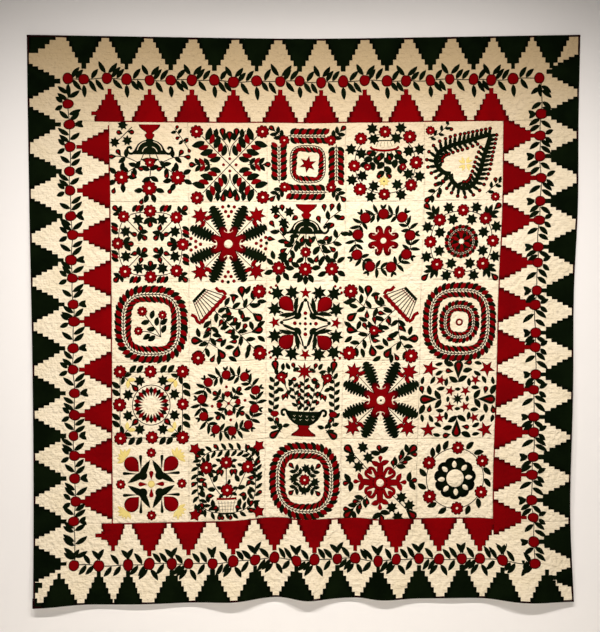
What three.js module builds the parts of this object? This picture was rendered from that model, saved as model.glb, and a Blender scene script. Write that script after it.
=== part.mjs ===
// A hung album quilt: a wadded body with its backing, blocks sewn edge to edge in rows, four border
// panels round them and four lengths of folded binding. Millimetres, +Z up, the face towards -Y, and
// the origin at the middle of the top edge, which holds the quilt up.
import * as THREE from "three";

// Driving dimensions
const TOP_WIDTH = 2488; // corner to corner along the hanging edge
const DROP = 2556; // from the middle of the top edge down to the lowest corner
const TOP_SAG = 18; // how far the middle of the top edge hangs below its corners
const SAG_SOFTNESS = 0.15; // how round the sag is at its middle
const BODY_THICK = 3; // wadding and backing
const PANEL_THICK = 1.4; // a block or a border panel at its seams
const PUFF = 2.6; // how far the wadding lifts the middle of a panel
const GAP = 0.3; // between neighbouring pieces
const BINDING_WIDTH = 8; // how far the binding reaches in over the face and the back
const BINDING_THICK = 1;
const FLAT_STRIP = 11; // the strip along each edge that the binding holds flat
const BLOCKS = 5; // blocks in a row, and rows of blocks
const BLOCK_CELLS = 4; // steps of the surface across a block
const BORDER_CELLS = 3; // steps of the surface across a border, past its flat strip

// The seams round the blocks, as shares of the width and the drop. The right one leans.
const SEAMS = { left: 0.147, rightTop: 0.8655, rightFoot: 0.8555, top: 0.1505, foot: 0.858 };

// How far each side edge draws in below its top corner
const SIDES = [
  { down: 0.0, left: 0, right: 0 },
  { down: 0.15, left: 5, right: 8 },
  { down: 0.3, left: 13, right: 11 },
  { down: 0.45, left: 22, right: 29 },
  { down: 0.6, left: 27, right: 35 },
  { down: 0.82, left: 32, right: 50 },
  { down: 1.0, left: 34, right: 31 },
];

// How far the lower edge rises above its lowest corner
const HEM = [
  { across: 0.0, lift: 0 },
  { across: 0.08, lift: 14 },
  { across: 0.15, lift: 15 },
  { across: 0.25, lift: 20 },
  { across: 0.37, lift: 31 },
  { across: 0.45, lift: 49 },
  { across: 0.51, lift: 37 },
  { across: 0.6, lift: 46 },
  { across: 0.64, lift: 38 },
  { across: 0.72, lift: 42 },
  { across: 0.83, lift: 44 },
  { across: 0.9, lift: 30 },
  { across: 1.0, lift: 27 },
];

// Folds that open towards the lower edge: where they meet it, how far they stand out there, half of
// their width as a share of the whole, and how far up the drop they run
const FOLDS = [
  { across: 0.03, out: 24, spread: 0.06, run: 0.34 },
  { across: 0.2, out: 10, spread: 0.06, run: 0.24 },
  { across: 0.37, out: 30, spread: 0.048, run: 0.36 },
  { across: 0.505, out: 32, spread: 0.036, run: 0.26 },
  { across: 0.65, out: 22, spread: 0.04, run: 0.3 },
  { across: 0.77, out: 8, spread: 0.05, run: 0.2 },
  { across: 0.915, out: 34, spread: 0.06, run: 0.42 },
];

// Broad swells of the whole sheet: their middle, how far they stand out, and half of their size
const SWELLS = [
  { across: 0.3, down: 0.3, out: 7, wide: 0.2, tall: 0.16 },
  { across: 0.72, down: 0.42, out: 9, wide: 0.16, tall: 0.2 },
  { across: 0.16, down: 0.66, out: 8, wide: 0.12, tall: 0.18 },
  { across: 0.5, down: 0.68, out: 6, wide: 0.16, tall: 0.14 },
  { across: 0.985, down: 0.72, out: 20, wide: 0.07, tall: 0.15 },
  { across: 0.01, down: 0.42, out: 9, wide: 0.06, tall: 0.14 },
];

// Grid lines of the surface, the same across and down: edge, flat strip, border, blocks and back out
const SEAM_LINE = 1 + BORDER_CELLS;
const LAST_LINE = 2 * SEAM_LINE + BLOCKS * BLOCK_CELLS;

const { clamp, lerp } = THREE.MathUtils;

// A value between the rows of a table, on a smooth curve through them
function readTable(rows, key, column, at) {
  let i = 0;
  while (i < rows.length - 2 && at > rows[i + 1][key]) i++;
  const [low, high] = [rows[i], rows[i + 1]];
  const before = rows[Math.max(i - 1, 0)];
  const after = rows[Math.min(i + 2, rows.length - 1)];
  const slope = (from, to) => (to[column] - from[column]) / (to[key] - from[key]);
  const step = high[key] - low[key];
  const u = (at - low[key]) / step;
  const ease = u * u * (3 - 2 * u);
  const leave = u * (1 - u) * (1 - u) * step * slope(before, high);
  const arrive = u * u * (u - 1) * step * slope(low, after);
  return low[column] * (1 - ease) + high[column] * ease + leave + arrive;
}

// The share of the width or drop at a grid line, which may lie between two lines or past the edge
function shareAtLine(line, flat, lowSeam, highSeam) {
  const lines = [0, 1, SEAM_LINE, LAST_LINE - SEAM_LINE, LAST_LINE - 1, LAST_LINE];
  const shares = [0, flat, lowSeam, highSeam, 1 - flat, 1];
  let i = 0;
  while (i < lines.length - 2 && line > lines[i + 1]) i++;
  return lerp(shares[i], shares[i + 1], (line - lines[i]) / (lines[i + 1] - lines[i]));
}

// How far the sheet stands out from the plane that it hangs in
function standOut(across, down) {
  let out = 0;
  for (const fold of FOLDS) {
    const open = Math.max(0, 1 - (1 - down) / fold.run);
    out += fold.out * open * open * Math.exp(-(((across - fold.across) / fold.spread) ** 2));
  }
  for (const swell of SWELLS) {
    const x = (across - swell.across) / swell.wide;
    const z = (down - swell.down) / swell.tall;
    out += swell.out * Math.exp(-x * x - z * z);
  }
  return out;
}

// The height of the top edge above its middle
function topRise(across) {
  const bend = (reach) => Math.hypot(reach, SAG_SOFTNESS) - SAG_SOFTNESS;
  return (TOP_SAG * bend(2 * across - 1)) / bend(1);
}

// A point of the hung sheet at two grid lines, moved back from its face by an offset
function hung(column, row, offset) {
  const flatAcross = FLAT_STRIP / TOP_WIDTH;
  const flatDown = FLAT_STRIP / DROP;
  const down = shareAtLine(row, flatDown, SEAMS.top, SEAMS.foot);
  const rightSeam = lerp(SEAMS.rightTop, SEAMS.rightFoot, down);
  const across = shareAtLine(column, flatAcross, SEAMS.left, rightSeam);
  const left = -TOP_WIDTH / 2 + readTable(SIDES, "down", "left", down);
  const right = TOP_WIDTH / 2 - readTable(SIDES, "down", "right", down);
  const foot = -DROP + readTable(HEM, "across", "lift", across);
  const out = standOut(
    clamp(across, flatAcross, 1 - flatAcross),
    clamp(down, flatDown, 1 - flatDown),
  );
  return [lerp(left, right, across), offset - out, lerp(topRise(across), foot, down)];
}

// A closed geometry from points and triangles, turned round where its faces point inwards
function closedGeometry(points, triangles) {
  const corner = [new THREE.Vector3(), new THREE.Vector3(), new THREE.Vector3()];
  let volume = 0;
  for (const triangle of triangles) {
    triangle.forEach((p, i) => corner[i].fromArray(points[p]));
    volume += corner[0].dot(corner[1].cross(corner[2]));
  }
  const faces = volume < 0 ? triangles.map(([a, b, c]) => [a, c, b]) : triangles;
  const geometry = new THREE.BufferGeometry();
  geometry.setAttribute("position", new THREE.Float32BufferAttribute(points.flat(), 3));
  geometry.setIndex(faces.flat());
  geometry.computeVertexNormals();
  return geometry;
}

// The grid lines from one line to another
function linesBetween(first, last) {
  return Array.from({ length: last - first + 1 }, (_, i) => first + i);
}

// A sheet of the hung cloth between two offsets: a face, a back with the same steps, and its rim
function sheetGeometry(columns, rows, faceOffset, backOffset) {
  const count = columns.length;
  const points = [faceOffset, backOffset].flatMap((offset) =>
    rows.flatMap((row) => columns.map((column) => hung(column, row, offset(column, row)))),
  );
  const back = count * rows.length;
  const triangles = [];
  for (let r = 0; r + 1 < rows.length; r++) {
    for (let c = 0; c + 1 < count; c++) {
      const [a, b] = [r * count + c, r * count + c + 1];
      const [d, e] = [a + count, b + count];
      triangles.push([a, d, b], [b, d, e]);
      triangles.push([back + a, back + b, back + d], [back + b, back + e, back + d]);
    }
  }
  const along = (length, place) => Array.from({ length }, (_, i) => place(i));
  const rim = [
    ...along(count - 1, (i) => i),
    ...along(rows.length - 1, (i) => i * count + count - 1),
    ...along(count - 1, (i) => back - 1 - i),
    ...along(rows.length - 1, (i) => (rows.length - 1 - i) * count),
  ];
  rim.forEach((p, i) => {
    const q = rim[(i + 1) % rim.length];
    triangles.push([p, q, back + q], [p, back + q, back + p]);
  });
  return closedGeometry(points, triangles);
}

// A section carried along the edge: place turns a step along it, a reach inwards and an offset to a point
function stripGeometry(steps, section, place) {
  const size = section.length;
  const points = steps.flatMap((step) => section.map(({ x, y }) => place(step, x, y)));
  const triangles = [];
  for (let s = 0; s + 1 < steps.length; s++) {
    for (let i = 0; i < size; i++) {
      const [a, b] = [s * size + i, s * size + ((i + 1) % size)];
      triangles.push([a, b, b + size], [a, b + size, a + size]);
    }
  }
  const last = (steps.length - 1) * size;
  for (const [a, b, c] of THREE.ShapeUtils.triangulateShape(section, [])) {
    triangles.push([a, c, b], [last + a, last + b, last + c]);
  }
  return closedGeometry(points, triangles);
}

const cloth = (color) => new THREE.MeshStandardMaterial({ color, roughness: 0.9, metalness: 0 });
const CREAM = cloth("#efe0c2");
const BACKING = cloth("#e6d9be");
const MAROON = cloth("#1c0a0b");

function addPiece(group, name, geometry, material) {
  const mesh = new THREE.Mesh(geometry, material);
  mesh.name = name;
  group.add(mesh);
}

const PANEL_BACK = -GAP;
const PANEL_FACE = PANEL_BACK - PANEL_THICK;
const hump = (u) => Math.sin(Math.PI * clamp(u, 0, 1));

// Half of the gap at a seam, in grid lines of the blocks
const CELL_SIZE = ((SEAMS.foot - SEAMS.top) * DROP) / (BLOCKS * BLOCK_CELLS);
const SEAM_INSET = GAP / 2 / CELL_SIZE;

// A panel's grid lines, drawn in at each end that is a seam and not an outer edge
function panelLines([first, last]) {
  const lines = linesBetween(first, last);
  if (first > 0) lines[0] += SEAM_INSET;
  if (last < LAST_LINE) lines[lines.length - 1] -= SEAM_INSET;
  return lines;
}

// A block or border panel between grid lines, lifted by its crown
function panelGeometry(columns, rows, crown) {
  const face = (column, row) => PANEL_FACE - PUFF * crown(column, row);
  return sheetGeometry(panelLines(columns), panelLines(rows), face, () => PANEL_BACK);
}

function buildBody() {
  const lines = linesBetween(0, LAST_LINE);
  return sheetGeometry(lines, lines, () => 0, () => BODY_THICK);
}

function buildBlocks(group) {
  const span = (i) => [SEAM_LINE + i * BLOCK_CELLS, SEAM_LINE + (i + 1) * BLOCK_CELLS];
  for (let r = 0; r < BLOCKS; r++) {
    for (let c = 0; c < BLOCKS; c++) {
      const [columns, rows] = [span(c), span(r)];
      const crown = (column, row) =>
        hump((column - columns[0]) / BLOCK_CELLS) * hump((row - rows[0]) / BLOCK_CELLS);
      addPiece(group, `block_r${r + 1}c${c + 1}`, panelGeometry(columns, rows, crown), CREAM);
    }
  }
}

// The top and foot borders run the whole width, and the side borders stand between them
function buildBorders(group) {
  const far = LAST_LINE - SEAM_LINE;
  const fromEdge = (line) => Math.min(line, LAST_LINE - line) - 1;
  const crossing = (line) => hump(fromEdge(line) / BORDER_CELLS);
  const running = (line) => clamp(fromEdge(line), 0, 1);
  const wide = (column, row) => crossing(row) * running(column);
  const tall = (column, row) => crossing(column) * running(row);
  const add = (name, columns, rows, crown) =>
    addPiece(group, `border_${name}`, panelGeometry(columns, rows, crown), CREAM);
  add("top", [0, LAST_LINE], [0, SEAM_LINE], wide);
  add("foot", [0, LAST_LINE], [far, LAST_LINE], wide);
  add("left", [0, SEAM_LINE], [SEAM_LINE, far], tall);
  add("right", [far, LAST_LINE], [SEAM_LINE, far], tall);
}

// The binding's section: a strip folded over the edge, open inwards, a gap clear of face and back
function bindingSection() {
  const [outside, inside] = [-GAP - BINDING_THICK, -GAP];
  const [faceIn, backIn] = [PANEL_FACE - GAP, BODY_THICK + GAP];
  const [faceOut, backOut] = [faceIn - BINDING_THICK, backIn + BINDING_THICK];
  const corners = [
    [outside, faceOut],
    [BINDING_WIDTH, faceOut],
    [BINDING_WIDTH, faceIn],
    [inside, faceIn],
    [inside, backIn],
    [BINDING_WIDTH, backIn],
    [BINDING_WIDTH, backOut],
    [outside, backOut],
  ];
  return corners.map(([reach, offset]) => new THREE.Vector2(reach, offset));
}

// The top and foot bindings wrap past the side ones, which end a gap short of them
function buildBindings(group) {
  const section = bindingSection();
  const lines = (reach) => reach / FLAT_STRIP;
  const middle = linesBetween(1, LAST_LINE - 1);
  const ends = (reach) => [lines(reach), ...middle, LAST_LINE - lines(reach)];
  const wide = ends(-GAP - BINDING_THICK);
  const tall = ends(BINDING_WIDTH + GAP);
  const add = (name, steps, place) =>
    addPiece(group, `binding_${name}`, stripGeometry(steps, section, place), MAROON);
  add("top", wide, (step, reach, offset) => hung(step, lines(reach), offset));
  add("foot", wide, (step, reach, offset) => hung(step, LAST_LINE - lines(reach), offset));
  add("left", tall, (step, reach, offset) => hung(lines(reach), step, offset));
  add("right", tall, (step, reach, offset) => hung(LAST_LINE - lines(reach), step, offset));
}

const quilt = new THREE.Group();
addPiece(quilt, "quilt_body", buildBody(), BACKING);
for (const build of [buildBlocks, buildBorders, buildBindings]) {
  const group = new THREE.Group();
  build(group);
  quilt.add(group);
}

export default quilt;
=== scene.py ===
"""Looks of a hung album quilt: wadded cream blocks and borders with sewn-on red and green cloth.

Plans are in millimetres on the quilt's face and meshes in metres. The face looks along -Y and the
origin is at the middle of the top edge.
"""

import logging
import math
from dataclasses import dataclass, field
from enum import Enum

import bpy
import numpy as np
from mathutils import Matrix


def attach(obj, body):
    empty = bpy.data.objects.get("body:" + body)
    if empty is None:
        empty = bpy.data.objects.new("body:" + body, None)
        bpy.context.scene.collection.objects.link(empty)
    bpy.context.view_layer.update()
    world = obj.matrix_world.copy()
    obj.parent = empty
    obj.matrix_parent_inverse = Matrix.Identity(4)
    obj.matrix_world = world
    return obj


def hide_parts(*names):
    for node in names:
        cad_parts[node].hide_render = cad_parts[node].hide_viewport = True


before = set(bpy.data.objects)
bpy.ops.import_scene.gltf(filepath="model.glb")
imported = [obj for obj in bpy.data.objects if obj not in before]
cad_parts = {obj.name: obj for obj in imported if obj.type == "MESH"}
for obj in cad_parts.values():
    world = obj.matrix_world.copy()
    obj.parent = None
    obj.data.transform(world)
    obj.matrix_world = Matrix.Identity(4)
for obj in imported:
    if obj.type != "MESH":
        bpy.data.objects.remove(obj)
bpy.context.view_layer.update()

LOG = logging.getLogger("quilt")
MM = 0.001
TAU = 2 * math.pi
BLOCKS = 5
QUARTERS = (0, 90, 180, 270)
HANDS = (-1, 1)
RING_POINTS = 97
Array = np.ndarray
Tree = bpy.types.NodeTree
Socket = bpy.types.NodeSocket


class Cloth(Enum):
    """Cloths of the quilt, each with its material slot."""

    CREAM = "cream_cotton"
    BACKING = "backing_cotton"
    BINDING = "binding_cotton"
    RED = "red_cotton"
    GREEN = "green_cotton"
    GOLD = "gold_cotton"


CREAM, RED, GREEN, GOLD = Cloth.CREAM, Cloth.RED, Cloth.GREEN, Cloth.GOLD


class Side(Enum):
    """Sides of the quilt seen from the front."""

    TOP = "top"
    RIGHT = "right"
    FOOT = "foot"
    LEFT = "left"


def mix(low: Array, high: Array, share: Array) -> Array:
    """Return the value at a share of the way from low to high."""
    return low + (high - low) * share


def smooth_step(low: float, high: float, at: Array) -> Array:
    """Return 0 below low, 1 above high and a soft rise between them."""
    u = np.clip((at - low) / (high - low), 0.0, 1.0)
    return u * u * (3 - 2 * u)


def read_curve(rows: tuple, column: int, at: Array) -> Array:
    """Read a table along a smooth curve through its rows.

    Args:
        rows: Rows that start with the place of the row, in rising order.
        column: The column to read.
        at: Places to read at.

    Returns:
        Values of the cubic whose slope at a row is that of the chord between its neighbours.
    """
    table = np.array(rows)
    keys, values = table[:, 0], table[:, column]
    low = np.searchsorted(keys[1:-1], at, side="left")
    high = low + 1
    before = np.maximum(low - 1, 0)
    after = np.minimum(low + 2, len(keys) - 1)
    step = keys[high] - keys[low]
    u = (at - keys[low]) / step
    ease = u * u * (3 - 2 * u)
    leave = (values[high] - values[before]) / (keys[high] - keys[before])
    arrive = (values[after] - values[low]) / (keys[after] - keys[low])
    bends = u * (1 - u) ** 2 * step * leave + u * u * (u - 1) * step * arrive
    return mix(values[low], values[high], ease) + bends


@dataclass(frozen=True)
class HungSheet:
    """The surface in which the quilt hangs, with the sizes of its solids, in millimetres."""

    width: float = 2488.0
    drop: float = 2556.0
    sag: float = 18.0
    sag_softness: float = 0.15
    flat_strip: float = 11.0
    seam_left: float = 0.147
    seam_right: tuple = (0.8655, 0.8555)
    seam_top: float = 0.1505
    seam_foot: float = 0.858
    # Place down the side, then how far the left and the right edge draw in there
    sides: tuple = (
        (0.0, 0, 0), (0.15, 5, 8), (0.3, 13, 11), (0.45, 22, 29), (0.6, 27, 35), (0.82, 32, 50),
        (1.0, 34, 31),
    )
    # Place across, then how far the lower edge rises above its lowest corner
    hem: tuple = (
        (0.0, 0), (0.08, 14), (0.15, 15), (0.25, 20), (0.37, 31), (0.45, 49), (0.51, 37), (0.6, 46),
        (0.64, 38), (0.72, 42), (0.83, 44), (0.9, 30), (1.0, 27),
    )
    # Place across, how far the fold stands out at the lower edge, half its width and its run
    folds: tuple = (
        (0.03, 24, 0.06, 0.34), (0.2, 10, 0.06, 0.24), (0.37, 30, 0.048, 0.36), (0.505, 32, 0.036, 0.26),
        (0.65, 22, 0.04, 0.3), (0.77, 8, 0.05, 0.2), (0.915, 34, 0.06, 0.42),
    )
    # Place across and down, how far the swell stands out, and half its width and height
    swells: tuple = (
        (0.3, 0.3, 7, 0.2, 0.16), (0.72, 0.42, 9, 0.16, 0.2), (0.16, 0.66, 8, 0.12, 0.18),
        (0.5, 0.68, 6, 0.16, 0.14), (0.985, 0.72, 20, 0.07, 0.15), (0.01, 0.42, 9, 0.06, 0.14),
    )

    def edges(self, down: Array) -> tuple[Array, Array]:
        """Return where the left and the right edge hang at a place down the drop."""
        left = -self.width / 2 + read_curve(self.sides, 1, down)
        right = self.width / 2 - read_curve(self.sides, 2, down)
        return left, right

    def ends(self, across: Array) -> tuple[Array, Array]:
        """Return the heights of the top and the lower edge at a place across."""
        soft = self.sag_softness
        bend = np.hypot(2 * across - 1, soft) - soft
        top = self.sag * bend / (math.hypot(1, soft) - soft)
        return top, -self.drop + read_curve(self.hem, 1, across)

    def seam_at_right(self, down: Array) -> Array:
        """Return the place across of the leaning seam at the right of the blocks."""
        return mix(self.seam_right[0], self.seam_right[1], down)

    def stand_out(self, across: Array, down: Array) -> Array:
        """Return how far folds and swells stand out: rounded bells, the folds opening downwards."""
        margin_x, margin_y = self.flat_strip / self.width, self.flat_strip / self.drop
        a = np.clip(across, margin_x, 1 - margin_x)
        d = np.clip(down, margin_y, 1 - margin_y)
        out = np.zeros(np.broadcast(a, d).shape)
        for place, height, spread, run in self.folds:
            opening = np.maximum(0, 1 - (1 - d) / run)
            out = out + height * opening**2 * np.exp(-(((a - place) / spread) ** 2))
        for place, level, height, wide, tall in self.swells:
            out = out + height * np.exp(-(((a - place) / wide) ** 2) - ((d - level) / tall) ** 2)
        return out

    def place(self, across: Array, down: Array, lift: Array) -> Array:
        """Hang points of the flat quilt.

        Args:
            across: Places across, as shares of the width.
            down: Places down, as shares of the drop.
            lift: How far each point lies in front of the wadded body's face, in millimetres.

        Returns:
            Points in metres, with a last axis of three.
        """
        left, right = self.edges(down)
        top, foot = self.ends(across)
        x = mix(left, right, across)
        y = -lift - self.stand_out(across, down)
        z = mix(top, foot, down)
        return np.stack(np.broadcast_arrays(x, y, z), axis=-1) * MM


@dataclass(frozen=True)
class Relief:
    """How the wadding lifts the quilted face, in millimetres in front of the body's face."""

    sheet: HungSheet
    back: float = 0.3
    seam_lift: float = 1.7
    puff: float = 1.5
    pucker: float = 0.75
    row_gap: float = 27.0
    border_rise: float = 60.0
    binding_reach: float = 9.0
    crease_bow: float = 0.0009
    # Creases: middle across and down, turn in degrees, half length, half width, depth
    creases: tuple = (
        (180, 2330, 62, 120, 9, 1.5), (238, 2290, 48, 90, 8, 1.2), (120, 2395, 20, 95, 9, 1.4),
        (330, 2440, 96, 80, 8, 1.2), (295, 2235, -14, 120, 8, 1.1), (250, 1985, 8, 110, 8, 1.2),
        (165, 1880, -6, 75, 9, 1.3), (300, 1770, 5, 90, 8, 0.9), (180, 1690, 11, 80, 8, 1.0),
        (150, 1505, -8, 70, 8, 0.9), (430, 2225, 3, 140, 9, 1.0), (520, 1985, 2, 150, 10, 1.2),
        (505, 2078, -3, 130, 9, 1.0), (610, 2330, 7, 110, 9, 1.2), (815, 2262, -6, 90, 8, 1.1),
        (905, 2450, 84, 70, 9, 1.4), (1090, 2330, 5, 85, 8, 1.1), (1255, 2455, 96, 75, 9, 1.5),
        (1330, 2275, -4, 100, 8, 1.0), (1575, 2300, 6, 95, 8, 1.1), (1640, 2440, 80, 70, 9, 1.3),
        (1850, 2290, -7, 90, 9, 1.1), (2085, 2330, 34, 100, 9, 1.4), (2190, 2235, 40, 95, 9, 1.3),
        (2290, 2370, -30, 95, 10, 1.6), (2310, 2130, 14, 85, 9, 1.3), (2215, 1935, -9, 105, 9, 1.2),
        (2340, 1775, 12, 70, 9, 1.3), (2230, 1595, -6, 90, 8, 1.0), (2335, 1330, 9, 60, 8, 0.9),
        (2205, 2080, -32, 80, 8, 1.1), (175, 205, -28, 90, 10, 0.8), (330, 420, 40, 80, 9, 0.6),
        (2330, 240, 30, 80, 10, 0.7),
    )

    def crown(self, across: Array, down: Array) -> Array:
        """Return the rise of each panel between its seams: a soft step with a shallow dome on it."""
        sheet = self.sheet
        block_x = (across - sheet.seam_left) / (sheet.seam_at_right(down) - sheet.seam_left)
        block_y = (down - sheet.seam_top) / (sheet.seam_foot - sheet.seam_top)
        inside = (block_x > 0) & (block_x < 1) & (block_y > 0) & (block_y < 1)
        wave_x = np.abs((BLOCKS * block_x + 0.5) % 1 - 0.5)
        wave_y = np.abs((BLOCKS * block_y + 0.5) % 1 - 0.5)
        near = np.minimum(wave_x, wave_y)
        dome = smooth_step(0, 0.11, near) * (0.8 + 0.2 * smooth_step(0.05, 0.5, near))
        reach_x = np.minimum(across * sheet.width, (1 - across) * sheet.width)
        reach_y = np.minimum(down * sheet.drop, (1 - down) * sheet.drop)
        edge = smooth_step(0, self.border_rise, np.minimum(reach_x, reach_y) - self.binding_reach)
        gap = np.maximum(np.maximum(-block_x, block_x - 1), np.maximum(-block_y, block_y - 1))
        return np.where(inside, dome, edge * smooth_step(0, 0.03, gap))

    def puckers(self, across: Array, down: Array) -> Array:
        """Return soft puckers: wavering rows a row gap apart, broken up along their length."""
        x, y = across * self.sheet.width, down * self.sheet.drop
        from_side = np.minimum(across, 1 - across)
        corner = smooth_step(0.2, 0.02, from_side) * smooth_step(0.8, 0.97, down)
        row = y + corner * x * 0.8 + 8 * np.sin(TAU * x / 171) + 4 * np.sin(TAU * x / 63 + 1)
        wave = np.sin(TAU * row / self.row_gap + 0.8 * np.sin(TAU * y / 210))
        broken = 0.55 + 0.45 * np.sin(TAU * x / 47 + 2.1 * np.sin(TAU * y / 93))
        bumps = np.sin(TAU * (x + 0.4 * y) / 38) * np.sin(TAU * (y - 0.5 * x) / 33)
        outside = smooth_step(0.16, 0.13, np.minimum(from_side, np.minimum(down, 1 - down)))
        strength = 0.22 + 0.2 * down + outside * smooth_step(0.35, 0.9, down) * 0.7
        return self.pucker * strength * (wave * broken + 0.55 * bumps)

    def face(self, across: Array, down: Array) -> Array:
        """Return the lift of the quilted face: seam level, crown, puckers and creases together."""
        x, y = across * self.sheet.width, down * self.sheet.drop
        crown = self.crown(across, down)
        lift = self.puff * crown + (0.3 + 0.7 * crown) * self.puckers(across, down)
        for middle_x, middle_y, turn, length, width, depth in self.creases:
            c, s = math.cos(math.radians(turn)), math.sin(math.radians(turn))
            along = (x - middle_x) * c + (y - middle_y) * s
            off = (y - middle_y) * c - (x - middle_x) * s + self.crease_bow * along * along
            fade = np.exp(-((along / length) ** 4))
            ripple = np.cos(off / width * 1.6) * np.exp(-((off / (1.9 * width)) ** 2))
            lift = lift + depth * fade * crown * 0.5 * ripple
        return self.seam_lift + np.maximum(lift, 0.0)


SHEET = HungSheet()
RELIEF = Relief(SHEET)


@dataclass(frozen=True)
class BlockPlan:
    """Millimetres right of and above the middle of a block, to places on the sheet."""

    row: int
    column: int
    shift: tuple = (0.0, 0.0)
    width: float = 352.0
    height: float = 361.0
    mirrored: bool = False

    def shares(self, points: Array) -> Array:
        """Return the places across and down of points on the plan."""
        x, y = points[:, 0] + self.shift[0], points[:, 1] + self.shift[1]
        across = (self.column + 0.5 + x / self.width) / BLOCKS
        down = mix(SHEET.seam_top, SHEET.seam_foot, (self.row + 0.5 - y / self.height) / BLOCKS)
        return np.stack([mix(SHEET.seam_left, SHEET.seam_at_right(down), across), down], axis=1)


@dataclass(frozen=True)
class BorderPlan:
    """Millimetres along a side and in from its edge, to places on the sheet.

    Along is the distance right of the middle on the top and foot, and the distance below the middle
    of the top edge on the sides. Seam plans reach out from the seam round the blocks.
    """

    side: Side
    from_seam: bool = False

    @property
    def mirrored(self) -> bool:
        """Return whether the plan's turns run the other way round than they look."""
        return (self.side in (Side.TOP, Side.RIGHT)) != self.from_seam

    def base(self, down: Array) -> Array:
        """Return the place of the line from which the plan reaches."""
        if not self.from_seam:
            return np.full_like(down, 0.0 if self.side in (Side.TOP, Side.LEFT) else 1.0)
        if self.side is Side.RIGHT:
            return SHEET.seam_at_right(down)
        level = {Side.TOP: SHEET.seam_top, Side.FOOT: SHEET.seam_foot, Side.LEFT: SHEET.seam_left}
        return np.full_like(down, level[self.side])

    def shares(self, points: Array) -> Array:
        """Return the places across and down of points on the plan."""
        along, reach = points[:, 0], points[:, 1]
        inwards = 1.0 if self.side in (Side.TOP, Side.LEFT) else -1.0
        toward = -inwards if self.from_seam else inwards
        upright = self.side in (Side.LEFT, Side.RIGHT)
        across, down = np.full_like(along, 0.5), np.full_like(along, 0.5)
        for _ in range(4):
            left, right = SHEET.edges(down)
            top, foot = SHEET.ends(across)
            if upright:
                down = (-along - top) / (foot - top)
                across = self.base(down) + toward * reach / (right - left)
            else:
                across = (along - left) / (right - left)
                down = self.base(down) + toward * reach / (top - foot)
        return np.stack([across, down], axis=1)


def make_mesh(
    name: str, points: Array, faces: list[Array], maps: dict[str, list[Array]], values: dict[str, Array],
) -> bpy.types.Object:
    """Make a smooth mesh object at the origin.

    Args:
        name: Name of the object and its mesh.
        points: Points in metres.
        faces: Arrays of faces, each with faces of one size as rows of point numbers.
        maps: Texture maps, each with one array of corner coordinates for every array of faces.
        values: Numbers for each point, kept as attributes.

    Returns:
        The object, linked to the scene.
    """
    mesh = bpy.data.meshes.new(name)
    corners = np.concatenate([f.ravel() for f in faces]).astype(np.int32)
    sizes = np.concatenate([np.full(len(f), f.shape[1]) for f in faces])
    starts = np.concatenate([[0], np.cumsum(sizes)[:-1]]).astype(np.int32)
    mesh.vertices.add(len(points))
    mesh.vertices.foreach_set("co", points.astype(np.float32).ravel())
    mesh.loops.add(len(corners))
    mesh.loops.foreach_set("vertex_index", corners)
    mesh.polygons.add(len(starts))
    mesh.polygons.foreach_set("loop_start", starts)
    mesh.update(calc_edges=True)
    mesh.polygons.foreach_set("use_smooth", np.ones(len(starts), dtype=bool))
    for label, parts in maps.items():
        layer = mesh.uv_layers.new(name=label)
        flat = np.concatenate([p.reshape(-1, 2) for p in parts]).astype(np.float32)
        layer.data.foreach_set("uv", flat.ravel())
    for label, numbers in values.items():
        kept = mesh.attributes.new(label, "FLOAT", "POINT")
        kept.data.foreach_set("value", numbers.astype(np.float32))
    mesh.update()
    obj = bpy.data.objects.new(name, mesh)
    bpy.context.scene.collection.objects.link(obj)
    return obj


def grid_faces(columns: int, rows: int) -> Array:
    """Return the four-sided faces of a grid of points, row by row, facing the viewer."""
    first = (np.arange(rows - 1)[:, None] * columns + np.arange(columns - 1)).ravel()
    return np.stack([first, first + columns, first + columns + 1, first + 1], axis=1)


def rim_of(columns: int, rows: int) -> Array:
    """Return the points round a grid: down its left side, along its foot, up and back."""
    left = np.arange(rows - 1) * columns
    foot = (rows - 1) * columns + np.arange(columns - 1)
    right = (np.arange(rows - 1, 0, -1) + 1) * columns - 1
    top = np.arange(columns - 1, 0, -1)
    return np.concatenate([left, foot, right, top])


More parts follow.
